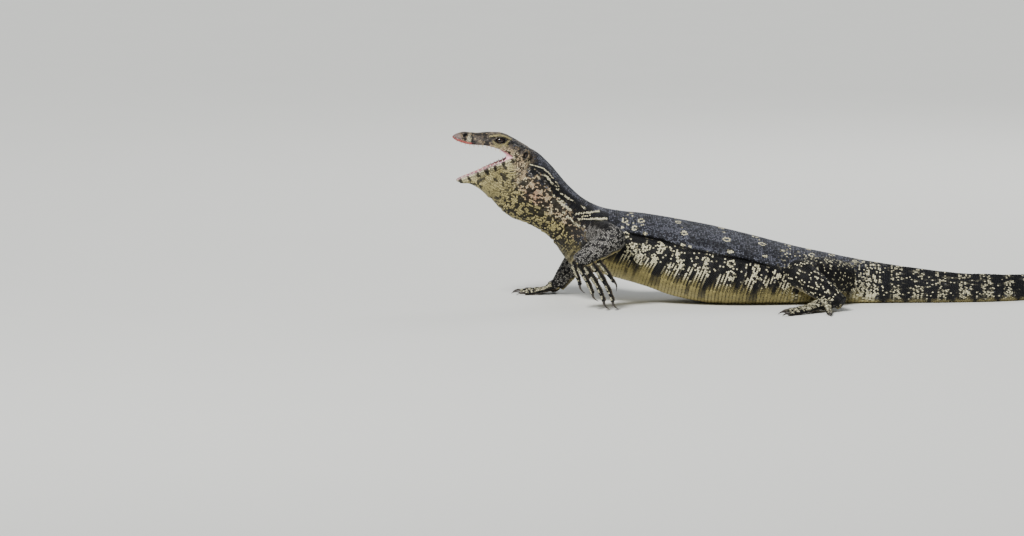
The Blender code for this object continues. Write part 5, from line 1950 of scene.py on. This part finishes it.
@dataclass
class Coat:
    """The whole coat of scales, cut into pieces that the model can hold."""

    chart: Chart
    markings: Markings
    most: int = 8600
    pieces: list[bpy.types.Object] = field(default_factory=list)

    def build(self, head: HeadSkin, body: BodySkin, lining: np.ndarray) -> list[bpy.types.Object]:
        """Lays every scale and makes the pieces.

        Args:
            head: the finished skin of the head.
            body: the finished skin of the rest.
            lining: which vertices of the head's skin belong to the mouth.

        Returns:
            The pieces.
        """
        layout = Layout(self.chart, [head.obj, body.obj])
        sets = []
        for number, path in enumerate(self.chart.paths):
            part = self.chart.parts[number]
            if part is Part.BODY:
                rows = layout.rows(number, Spacing(), FIRST_ROW, path.along[-1])
            elif part is Part.LIMB:
                rows = layout.rows(number, LimbSpacing(), 0.020, path.along[-1])
            else:
                rows = layout.rows(number, ToeSpacing(), 0.004, path.along[-1] - 0.0008)
            rows.place, normal = layout.on_skin(rows.place)
            found = Places.find(self.chart, rows.place, normal)
            keep = (found.path == number) & (found.neck() > SEAM)
            sets.append(rows.only(keep))
        rows = sets[0].joined_with(sets[1:])
        log.info("rows of scales hold %d", len(rows.place))
        filled = self.gaps(layout, body.obj, rows)
        log.info("gaps between the rows take %d more", len(filled.place))
        plates = HeadScales(layout, head.obj, lining)
        lips, brows = plates.lips(), plates.over_eyes()
        wide = np.concatenate([lips.place, brows.place])
        steps = ((0, 0, 0), (0, 0, 0.0011), (0, 0, -0.0011), (0, 0.0013, 0), (0, -0.0013, 0))
        blocked = np.concatenate([wide + step for step in steps])
        small = plates.everywhere(np.concatenate([blocked, rows.place[rows.place[:, 0] < -0.15]]))
        log.info("the head holds %d", len(small.place) + len(wide))
        every = rows.joined_with([filled, lips, brows, small])
        self.make(layout, every)
        return self.pieces

    def gaps(self, layout: Layout, skin: bpy.types.Object, rows: Scale) -> Scale:
        """Scales where the rows of two forms leave the skin bare."""
        tree = KDTree(len(rows.place))
        for k, spot in enumerate(rows.place):
            tree.insert(spot, k)
        tree.balance()
        points, _ = points_of(skin)
        bare = np.array([tree.find(spot)[2] for spot in points]) > 0.0016
        corners = triangles_of(skin)
        corners = corners[bare[corners].any(axis=1)]
        shares = layout.random.dirichlet((1, 1, 1), (len(corners), 5))
        place = np.einsum("fkc,fcd->fkd", shares, points[corners]).reshape(-1, 3)
        past = (place - NECK_POINT) @ NECK_WAY
        near = np.array([tree.find(spot)[2] for spot in place])
        place = place[(near > 0.0019) & (past > 0.001)]
        place = place[layout.scattered(place, np.full(len(place), 0.0019), rows.place)]
        return Scale.facing((1.0, 0.0, -0.2), place, 0.0027, 0.0024, 0.00040, 0)

    def make(self, layout: Layout, scales: Scale) -> None:
        """Paints the scales and builds the pieces from them."""
        place, normal = layout.on_skin(scales.place)
        scales.place = place
        places = Places.find(self.chart, place, normal)
        colours = self.markings.of(places)
        groups = self.groups(places)
        for name, chosen in groups:
            order = chosen[np.argsort(self.lie(places, chosen), kind="stable")]
            count = max(1, math.ceil(len(order) / self.most))
            for number, part in enumerate(np.array_split(order, count)):
                title = f"scales_{name}" if count == 1 else f"scales_{name}_{number + 1}"
                self.pieces.append(self.piece(title, scales, places, colours, part))

    def lie(self, places: Places, chosen: np.ndarray) -> np.ndarray:
        """The order of the scales along their part."""
        return places.along[chosen] + places.path[chosen] * 10.0

    def groups(self, places: Places) -> list[tuple[str, np.ndarray]]:
        """The parts of the coat by name, with the numbers of their scales."""
        head = (places.neck() < SEAM) & (places.point[:, 0] < HEAD_END)
        limbs = np.array(self.chart.limbs)[places.path]
        body = (limbs < 0) & ~head
        cuts = (("neck", -1.0, 0.17), ("torso", 0.17, 0.62), ("tail", 0.62, 9.0))
        made = [("head", np.nonzero(head)[0])]
        for name, low, high in cuts:
            made.append((name, np.nonzero(body & (places.along >= low) & (places.along < high))[0]))
        for number, limb in enumerate(LIMBS):
            made.append((limb.name, np.nonzero((limbs == number) & ~head)[0]))
        return made

    def unwrap(self, places: Places, part: np.ndarray, head: bool) -> np.ndarray:
        """Where each scale's root lies on an unwrap of the skin.

        Args:
            places: where the scales stand.
            part: the numbers of this piece's scales.
            head: whether the piece is the head's.

        Returns:
            Map coordinates of each root, from 0 to 1.
        """
        if head:
            x, y, z = places.point[part].T
            v = np.arctan2(y, z - 0.2420) / (2 * math.pi) + 0.5
            u = (x - x.min()) / max(np.ptp(x), 1e-6)
        else:
            numbers = places.path[part]
            lanes = {number: k for k, number in enumerate(sorted(set(numbers.tolist())))}
            lane = np.array([lanes[number] for number in numbers.tolist()])
            share = 1.0 if len(lanes) == 1 else 0.5
            height = np.where(lane == 0, share, share / max(len(lanes) - 1, 1))
            start = np.where(lane == 0, 0.0, share + (lane - 1) * height)
            v = start + (places.angle[part] / 360 + 0.5) * height
            along = places.along[part]
            u = np.empty(len(part))
            for number in lanes:
                here = numbers == number
                u[here] = (along[here] - along[here].min()) / max(np.ptp(along[here]), 1e-6)
        return np.column_stack([0.01 + 0.98 * u, 0.01 + 0.98 * v])

    def piece(
        self, name: str, scales: Scale, places: Places, colours: np.ndarray, part: np.ndarray
    ) -> bpy.types.Object:
        """Builds one piece of the coat as a joined mesh.

        Args:
            name: the piece's name.
            scales: all scales.
            places: where they stand.
            colours: the colour of each.
            part: the numbers of those in this piece.

        Returns:
            The new object.
        """
        random = np.random.default_rng(len(part))
        root_map = self.unwrap(places, part, name == "scales_head")
        parts = {"points": [], "starts": [], "corners": [], "colour": [], "map": []}
        base = loops = 0
        for code, form in enumerate(ScaleForm):
            here = np.nonzero(scales.form[part] == code)[0]
            if not len(here):
                continue
            template = getattr(Template, form.value)()
            numbers = part[here]
            shape = np.array(template.points)
            normal = places.normal[numbers]
            way = scales.way[numbers]
            way = unit(way - (way * normal).sum(1, keepdims=True) * normal)
            across = np.cross(normal, way)
            count, size = len(numbers), len(shape)
            vary = 1 + 0.16 * (random.random((count, 3)) - 0.5)
            length = scales.length[numbers] * vary[:, 0]
            width = scales.width[numbers] * vary[:, 1]
            height = scales.height[numbers] * (1 + 0.5 * (random.random(count) - 0.5))
            points = places.point[numbers][:, None, :]
            for axis, (line, reach) in enumerate(((way, length), (across, width), (normal, height))):
                points = points + line[:, None, :] * (shape[:, axis] * reach[:, None])[:, :, None]
            points[:, :, 2] = np.maximum(points[:, :, 2], 0.00005)
            # each scale is painted dark at its foot, painted shade where it meets the skin, and lighter
            # towards its tip, a painted highlight
            tip = np.array(template.tip)
            root = colours[numbers]
            # painted highlight: random charcoal scales get the sky's reflection on their tips, and all of
            # them a little
            plain = smoothstep(0.010, 0.004, np.linalg.norm(root - np.array(CHARCOAL), axis=1))
            lift = smoothstep(0.40, 0.50, random.random(count)) * (0.30 + 0.55 * random.random(count)) + 0.06
            lift = lift * plain
            beaded = smoothstep(0.0035, 0.0015, np.linalg.norm(root - np.array(BEADED), axis=1))
            bead = smoothstep(0.26, 0.36, random.random(count)) * (0.45 + 0.55 * random.random(count))
            bead = bead * beaded
            low = root * 0.34
            top = root * (0.84 + 0.30 * random.random(count))[:, None]
            edge = root * 0.84
            top = mixed(top, SKY_GLINT, lift)
            top = mixed(top, BEAD, bead)
            near = (tip**2.4)[None, :, None]
            upper = edge[:, None, :] * (1 - near) + top[:, None, :] * near
            shades = low[:, None, :] * (1 - tip[None, :, None]) + upper * tip[None, :, None]
            parts["points"].append(points.reshape(-1, 3))
            parts["colour"].append(shades.reshape(-1, 3))
            lengths = np.array([len(face) for face in template.faces])
            flat = np.concatenate([np.array(face) for face in template.faces])
            corners = base + (np.arange(count) * size)[:, None] + flat[None, :]
            first = np.concatenate([[0], np.cumsum(lengths)[:-1]])
            starts = loops + (np.arange(count) * len(flat))[:, None] + first
            parts["corners"].append(corners.ravel())
            parts["starts"].append(starts.ravel())
            patch = shape[flat][:, :2] * 0.0030 / 1.4
            parts["map"].append((root_map[here][:, None, :] + patch[None, :, :]).reshape(-1, 2))
            base += count * size
            loops += count * len(flat)
        points = np.concatenate(parts["points"])
        starts, corners = np.concatenate(parts["starts"]), np.concatenate(parts["corners"])
        mesh = bpy.data.meshes.new(name)
        mesh.vertices.add(len(points))
        mesh.vertices.foreach_set("co", points.ravel())
        mesh.loops.add(len(corners))
        mesh.loops.foreach_set("vertex_index", corners.astype(np.int32))
        mesh.polygons.add(len(starts))
        mesh.polygons.foreach_set("loop_start", starts.astype(np.int32))
        mesh.update(calc_edges=True)
        layer = mesh.uv_layers.new(name="OFBake")
        layer.data.foreach_set("uv", np.concatenate(parts["map"]).astype(np.float32).ravel())
        made = bpy.data.objects.new(name, mesh)
        bpy.context.scene.collection.objects.link(made)
        shades = np.concatenate(parts["colour"])
        paint(made, shades, np.zeros(len(shades)))
        mesh.polygons.foreach_set("use_smooth", np.ones(len(starts), bool))
        mesh.validate(clean_customdata=False)
        triangles = sum(len(p.vertices) - 2 for p in mesh.polygons)
        log.info("%s holds %d scales and %d triangles", name, len(part), triangles)
        return made


# Eyes, mouth and claws


@dataclass(frozen=True)
class Eye:
    """One eyeball: a round pupil in a dark brown iris, with a thin golden ring between them."""

    side: int
    radius: float = EYE_RADIUS
    pupil: float = 0.34
    ring: float = 0.40
    iris: float = 0.72

    @property
    def node(self) -> str:
        """The solid that it stands for."""
        return "right_eye" if self.side > 0 else "left_eye"

    def build(self) -> bpy.types.Object:
        """Makes the ball with its clear front bulged, facing outwards and a little forwards."""
        bpy.ops.object.select_all(action="DESELECT")
        bpy.ops.mesh.primitive_uv_sphere_add(segments=64, ring_count=40, radius=self.radius)
        ball = bpy.context.object
        ball.name = f"eyeball_{'right' if self.side > 0 else 'left'}"
        place, _ = points_of(ball)
        facing = place[:, 2] / self.radius
        reach = np.hypot(place[:, 0], place[:, 1]) / self.radius
        place += unit(place) * (0.00035 * smoothstep(0.80, 1.0, facing))[:, None]
        streak = 0.5 + 0.5 * np.sin(np.arctan2(place[:, 1], place[:, 0]) * 23)
        colours = mixed(IRIS, IRIS_STREAK, bump(reach, 0.52, 0.10) * (0.3 + 0.4 * streak))
        colours = mixed(colours, GOLD_RING, bump(reach, self.ring, 0.018) * 0.45)
        colours = mixed(colours, PUPIL, smoothstep(self.pupil + 0.02, self.pupil - 0.02, reach))
        colours = mixed(colours, EYE_RIM, smoothstep(self.iris - 0.05, self.iris + 0.03, reach))
        colours[facing < 0] = EYE_RIM
        move_points(ball, place)
        paint(ball, colours, np.ones(len(place)))
        x, y, z = EYE_CENTRE
        look = Vector((-0.14, self.side * 0.97, 0.17)).normalized()
        turn = look.to_track_quat("Z", "Y").to_matrix().to_4x4()
        ball.data.transform(Matrix.Translation((x, self.side * y, z)) @ turn)
        return ball


@dataclass(frozen=True)
class Teeth:
    """Small hooked teeth along both jaws."""

    a_side: int = 11
    size: float = 0.0026
    radii: tuple[float, ...] = (0.0009, 0.0007, 0.00014)

    def build(self) -> bpy.types.Object:
        """Makes all teeth as one piece."""
        forms = []
        for side in (-1, 1):
            for k in range(self.a_side):
                share = k / (self.a_side - 1)
                size = self.size * (1.1 - 0.35 * share + 0.12 * math.sin(k * 2.3))
                ahead = 0.018 + 0.070 * share
                out = side * (float(jaw_half(ahead)) - 0.0032)
                low = [
                    jaw_point(ahead + 0.0004, -0.0024, out),
                    jaw_point(ahead, size * 0.45, out),
                    jaw_point(ahead - 0.0012, size, out * 0.985),
                ]
                x = -0.2240 - 0.0690 * share
                lip, half = (float(value) for value in upper_lip(x))
                out = side * (half - 0.0030)
                high = [
                    (x - 0.0004, out, lip + 0.0030),
                    (x, out, lip - size * 0.35),
                    (x + 0.0013, out * 0.985, lip - size),
                ]
                forms += [Rings.tube(path, self.radii, 10, 8) for path in (low, high)]
        return shells_object("teeth", forms)


@dataclass(frozen=True)
class Tongue:
    """A long tongue, forked at its tip, that lies on the mouth's floor."""

    places: tuple[Point, ...] = (
        (0.004, -0.0035, 0.0), (0.030, -0.0040, 0.0), (0.052, -0.0035, 0.0008),
        (0.066, -0.0020, 0.0028), (0.078, 0.0000, 0.0050),
    )
    radii: tuple[float, ...] = (0.0052, 0.0046, 0.0034, 0.0018, 0.0007)

    def build(self) -> bpy.types.Object:
        """Makes both prongs and their common root as one form."""
        forms = []
        for side in (-1, 1):
            path = [jaw_point(along, above, side * out) for along, above, out in self.places]
            forms.append(Rings.tube(path, list(self.radii), 24, 60, 0.55))
        made = shells_object("forked_tongue", forms)
        remeshed(made, 0.00032, 3)
        place, normal = points_of(made)
        ahead = about_jaw(place[:, 0], place[:, 2])[0]
        groove = 0.0005 * bump(place[:, 1], 0.0, 0.0009) * (normal[:, 2] > 0.2)
        groove = groove * smoothstep(0.056, 0.050, ahead)
        move_points(made, place - normal * groove[:, None])
        colours = mixed(TONGUE, TONGUE_TIP, smoothstep(0.045, 0.070, ahead))
        paint(made, colours, np.ones(len(place)))
        return made


@dataclass(frozen=True)
class Claws:
    """The five hooked claws of one foot."""

    limb: Limb

    def nodes(self) -> list[str]:
        """The solids that they stand for."""
        return [f"{self.limb.nodes()[2]}_claw_{k}" for k in range(1, 6)]

    def build(self) -> bpy.types.Object:
        """Makes the claws as one piece, each curved down and narrower than it is deep."""
        forms = []
        for digit in digits_of(self.limb):
            points = bent_path(digit)
            way = Vector(digit.end).normalized()
            root = points[-1] - way * 0.0012
            radius = digit.radius * TOE_TAPER * CLAW_ROOT
            lift = Vector((0, 0, 1)) - way * way.z
            if lift.length < 0.5:
                lift = Vector((-1, 0, 0)) - way * -way.x
            lift.normalize()
            drop = min(0.0045, max(0.0, points[-1].z - 0.0015))
            hook, radii = [], []
            for share in np.linspace(0, 1, 9):
                rise = lift * (0.0020 * math.sin(math.pi * share) - drop * share**2)
                hook.append(root + way * (CLAW_LENGTH + 0.0015) * float(share) + rise)
                radii.append(radius * (1 - 0.90 * share**1.3))
            forms.append(Rings.tube(hook, radii, 14, 18))
        return shells_object(f"claws_{self.limb.name}", forms)


# Finishes


class Nodes:
    """Builds the nodes of one tree."""

    def __init__(self, tree: bpy.types.NodeTree) -> None:
        """Keeps the tree."""
        self.tree = tree

    def add(self, kind: str, values: dict | None = None, **settings: object) -> bpy.types.Node:
        """Adds a node.

        Args:
            kind: the node's type.
            values: values of its inputs by name, or sockets that feed them.
            settings: properties of the node.

        Returns:
            The node.
        """
        node = self.tree.nodes.new(kind)
        for name, value in settings.items():
            setattr(node, name, value)
        for name, value in (values or {}).items():
            if isinstance(value, bpy.types.NodeSocket):
                self.tree.links.new(value, node.inputs[name])
            else:
                node.inputs[name].default_value = value
        return node

    def math(self, operation: str, first: object, second: object) -> bpy.types.NodeSocket:
        """The result of an operation on two values or sockets."""
        return self.add("ShaderNodeMath", {0: first, 1: second}, operation=operation).outputs[0]

    def noise(self, place: bpy.types.NodeSocket, scale: object, detail: float = 3.0) -> bpy.types.NodeSocket:
        """A noise's value at a place."""
        node = self.add("ShaderNodeTexNoise", {"Vector": place, "Scale": scale, "Detail": detail})
        return node.outputs["Fac"]

    def ranged(
        self, value: bpy.types.NodeSocket, low: float, high: float, to_low: float, to_high: float
    ) -> bpy.types.NodeSocket:
        """A value taken from one range to another."""
        values = {"Value": value, "From Min": low, "From Max": high, "To Min": to_low, "To Max": to_high}
        return self.add("ShaderNodeMapRange", values).outputs["Result"]


def grain_group() -> bpy.types.NodeTree:
    """Fine mottling, pores and dust that hide, scales, horn and flesh share.

    Returns:
        A group that takes a colour and puts out a colour, a roughness and a height.
    """
    tree = bpy.data.node_groups.new("Living grain", "ShaderNodeTree")
    for name, kind, way in (
        ("Colour", "NodeSocketColor", "INPUT"), ("Grain", "NodeSocketFloat", "INPUT"),
        ("Mottling", "NodeSocketFloat", "INPUT"), ("Dust", "NodeSocketFloat", "INPUT"),
        ("Colour", "NodeSocketColor", "OUTPUT"), ("Roughness", "NodeSocketFloat", "OUTPUT"),
        ("Height", "NodeSocketFloat", "OUTPUT"),
    ):
        tree.interface.new_socket(name=name, in_out=way, socket_type=kind)
    nodes = Nodes(tree)
    given = tree.nodes.new("NodeGroupInput")
    result = tree.nodes.new("NodeGroupOutput")
    place = nodes.add("ShaderNodeTexCoord").outputs["Object"]
    fine = nodes.noise(place, given.outputs["Grain"], 4.0)
    broad = nodes.noise(place, 90.0, 2.0)
    clouds = nodes.math("ADD", nodes.math("MULTIPLY", fine, 0.6), nodes.math("MULTIPLY", broad, 0.4))
    tone = nodes.ranged(clouds, 0.3, 0.7, -1.0, 1.0)
    factor = nodes.math("ADD", nodes.math("MULTIPLY", tone, given.outputs["Mottling"]), 1.0)
    scaled = {0: given.outputs["Colour"], "Scale": factor}
    varied = nodes.add("ShaderNodeVectorMath", scaled, operation="SCALE").outputs[0]
    settled = nodes.ranged(nodes.noise(place, 38.0, 3.0), 0.45, 0.7, 0.0, 1.0)
    dusty = nodes.math("MULTIPLY", settled, given.outputs["Dust"])
    mixed_in = nodes.add("ShaderNodeMix", data_type="RGBA")
    tree.links.new(dusty, mixed_in.inputs["Factor"])
    tree.links.new(varied, mixed_in.inputs["A"])
    mixed_in.inputs["B"].default_value = (*shade(150, 142, 128), 1)
    tree.links.new(mixed_in.outputs["Result"], result.inputs["Colour"])
    tree.links.new(nodes.ranged(fine, 0.3, 0.7, 0.85, 1.15), result.inputs["Roughness"])
    grained = {"Vector": place, "Scale": given.outputs["Grain"]}
    cells = nodes.add("ShaderNodeTexVoronoi", grained, feature="F1")
    pits = nodes.math("MULTIPLY", cells.outputs["Distance"], 0.5)
    height = nodes.math("SUBTRACT", nodes.math("MULTIPLY", fine, 0.5), pits)
    tree.links.new(height, result.inputs["Height"])
    return tree


@dataclass(frozen=True)
class Finish:
    """A material of the animal: its colour or its painted markings, gloss and relief."""

    name: str
    roughness: float
    grain: float
    mottling: float
    relief: float
    colour: Colour | None = None
    dust: float = 0.0
    wet_roughness: float | None = None
    coat: float = 0.0
    specular: float = 0.5

    def material(self, grain: bpy.types.NodeTree) -> bpy.types.Material:
        """Builds the material.

        Args:
            grain: the shared grain group.

        Returns:
            The material.
        """
        made = bpy.data.materials.new(self.name)
        made.use_nodes = True
        nodes = Nodes(made.node_tree)
        shader = made.node_tree.nodes["Principled BSDF"]
        group = nodes.add("ShaderNodeGroup", node_tree=grain)
        group.inputs["Grain"].default_value = self.grain
        group.inputs["Mottling"].default_value = self.mottling
        group.inputs["Dust"].default_value = self.dust
        if self.colour is None:
            marks = nodes.add("ShaderNodeAttribute", attribute_name="Markings").outputs["Color"]
            made.node_tree.links.new(marks, group.inputs["Colour"])
        else:
            group.inputs["Colour"].default_value = (*self.colour, 1)
        rough = nodes.math("MULTIPLY", group.outputs["Roughness"], self.roughness)
        if self.wet_roughness is not None:
            wet = nodes.add("ShaderNodeAttribute", attribute_name="Wet").outputs["Fac"]
            drier = nodes.math("MULTIPLY", wet, self.wet_roughness - self.roughness)
            rough = nodes.math("ADD", rough, drier)
        heights = {"Height": group.outputs["Height"], "Strength": 0.6, "Distance": self.relief}
        relief = nodes.add("ShaderNodeBump", heights)
        link = made.node_tree.links.new
        link(group.outputs["Colour"], shader.inputs["Base Color"])
        link(rough, shader.inputs["Roughness"])
        link(relief.outputs["Normal"], shader.inputs["Normal"])
        shader.inputs["Coat Weight"].default_value = self.coat
        shader.inputs["Coat Roughness"].default_value = 0.06
        shader.inputs["Specular IOR Level"].default_value = self.specular
        return made


HIDE = Finish("scaly_hide", 0.62, 520.0, 0.18, 0.0004, wet_roughness=0.22, specular=0.3)
SCALE_COAT = Finish("horny_scales", 0.40, 900.0, 0.20, 0.00012, dust=0.012, specular=0.17)
EYE_GLOSS = Finish("moist_eye", 0.18, 1400.0, 0.10, 0.00002, coat=1.0, specular=0.04)
ENAMEL = Finish("tooth_enamel", 0.28, 800.0, 0.10, 0.00004, colour=shade(226, 214, 190))
MOIST_TONGUE = Finish("moist_tongue", 0.25, 1600.0, 0.14, 0.00010, coat=0.3)
CLAW_HORN = Finish("claw_horn", 0.32, 700.0, 0.25, 0.00008, colour=shade(46, 40, 36), dust=0.12)


# Studio


@dataclass(frozen=True)
class Studio:
    """Camera at the photograph's angle, soft lights and a pale floor."""

    shift: Vector
    elevation: float = 6.0
    distance: float = 10.0
    frame_width: float = 1.6384
    pixel: float = 0.0016
    origin: tuple[int, int] = (640, 302)
    middle: tuple[int, int] = (512, 268)

    def camera(self) -> None:
        """Places the camera so that a pixel is 1.6 mm at the animal."""
        up = math.radians(self.elevation)
        away = Vector((0, -math.cos(up), math.sin(up)))
        aside, above = self.middle[0] - self.origin[0], self.origin[1] - self.middle[1]
        middle = Vector((aside * self.pixel, 0, above * self.pixel / math.cos(up)))
        lens = bpy.data.cameras.new("camera")
        lens.sensor_width = 36.0
        lens.lens = 36.0 * self.distance / self.frame_width
        lens.clip_end = 60.0
        made = bpy.data.objects.new("camera", lens)
        bpy.context.scene.collection.objects.link(made)
        made.location = middle + Vector((self.shift.x, self.shift.y, 0)) + away * self.distance
        made.rotation_euler = away.to_track_quat("Z", "Y").to_euler()
        bpy.context.scene.camera = made

    def lights(self) -> None:
        """Hangs a soft key light, a fill and a rim, and lights floor and air evenly."""
        sun = bpy.data.lights.new("daylight", "SUN")
        sun.energy, sun.angle = 4.4, math.radians(16)
        high = bpy.data.objects.new("daylight", sun)
        bpy.context.scene.collection.objects.link(high)
        high.rotation_euler = Vector((-0.45, -0.85, 0.90)).to_track_quat("Z", "Y").to_euler()
        for name, place, size, power in (
            ("key", (-1.5, -2.0, 2.1), 0.5, 24.0),
            ("rim", (0.6, 2.6, 2.2), 1.8, 30.0),
        ):
            lamp = bpy.data.lights.new(name, "AREA")
            lamp.shape, lamp.size, lamp.energy = "DISK", size, power
            made = bpy.data.objects.new(name, lamp)
            bpy.context.scene.collection.objects.link(made)
            made.location = place
            made.rotation_euler = (Vector(place) - Vector((0, 0, 0.1))).to_track_quat("Z", "Y").to_euler()
        world = bpy.data.worlds.new("air")
        world.use_nodes = True
        world.node_tree.nodes["Background"].inputs["Color"].default_value = (0.86, 0.90, 0.95, 1)
        world.node_tree.nodes["Background"].inputs["Strength"].default_value = 0.38
        bpy.context.scene.world = world

    def floor(self) -> bpy.types.Object:
        """Lays the pale floor."""
        bpy.ops.object.select_all(action="DESELECT")
        bpy.ops.mesh.primitive_plane_add(size=80, location=(0, 0, 0))
        made = bpy.context.object
        made.name = "studio_floor"
        paper = bpy.data.materials.new("pale_floor")
        paper.use_nodes = True
        nodes = Nodes(paper.node_tree)
        shader = paper.node_tree.nodes["Principled BSDF"]
        place = nodes.add("ShaderNodeTexCoord").outputs["Object"]
        rough = nodes.ranged(nodes.noise(place, 6.0), 0.3, 0.7, 0.80, 0.92)
        paper.node_tree.links.new(rough, shader.inputs["Roughness"])
        shader.inputs["Base Color"].default_value = (*shade(222, 222, 216), 1)
        made.data.materials.append(paper)
        return made


class Lizard:
    """The whole animal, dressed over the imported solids."""

    def __init__(self, shift: Vector) -> None:
        """Keeps how far the working sizes lie from the frame."""
        self.shift = shift
        self.chart = Chart()
        self.markings = Markings(self.chart)
        self.grain = grain_group()
        self.finishes: dict[str, bpy.types.Material] = {}

    def finish(self, obj: bpy.types.Object, finish: Finish, slot: str, nodes: list[str]) -> None:
        """Places a piece in the frame with its material.

        Args:
            obj: the piece, in working coordinates.
            finish: its finish.
            slot: not used.
            nodes: the solids that it stands for.
        """
        obj.data.transform(Matrix.Translation(self.shift))
        obj.data.materials.clear()
        if finish.name not in self.finishes:
            self.finishes[finish.name] = finish.material(self.grain)
        obj.data.materials.append(self.finishes[finish.name])
        obj.data.polygons.foreach_set("use_smooth", np.ones(len(obj.data.polygons), bool))
        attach(obj, "root")
        if nodes:
            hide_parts(*nodes)
        log.info("%s is in place, %d faces", obj.name, len(obj.data.polygons))

    def build(self) -> None:
        """Builds and dresses every piece."""
        head, body = HeadSkin(), BodySkin()
        head.build()
        lining = head.sculpt()
        head.colour(self.markings, self.chart, lining)
        log.info("the head's skin has %d vertices", len(head.obj.data.vertices))
        body.build()
        body.sculpt(self.chart, self.markings.blotch)
        body.colour(self.markings, self.chart)
        log.info("the body's skin has %d vertices", len(body.obj.data.vertices))
        coat = Coat(self.chart, self.markings)
        pieces = coat.build(head, body, lining)
        self.finish(head.obj, HIDE, "skin", list(head.nodes))
        self.finish(body.obj, HIDE, "skin", body.nodes())
        for piece in pieces:
            self.finish(piece, SCALE_COAT, "skin", [])
        for side in (-1, 1):
            eye = Eye(side)
            self.finish(eye.build(), EYE_GLOSS, "eye", [eye.node])
        self.finish(Teeth().build(), ENAMEL, "jaw_skin", [])
        self.finish(Tongue().build(), MOIST_TONGUE, "tongue", ["tongue"])
        for limb in LIMBS:
            claws = Claws(limb)
            self.finish(claws.build(), CLAW_HORN, "claw", claws.nodes())


def main() -> None:
    """Loads the frame and dresses the animal."""
    logging.basicConfig(level=logging.INFO, format="%(message)s")
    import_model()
    middle = Vector()
    for node in ("left_eye", "right_eye"):
        low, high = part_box(node)
        middle += (low + high) / 4
    shift = middle - Vector((EYE_CENTRE[0], 0.0, EYE_CENTRE[2]))
    studio = Studio(shift)
    studio.camera()
    studio.lights()
    studio.floor()
    Lizard(shift).build()


if __name__ == "__main__":
    main()
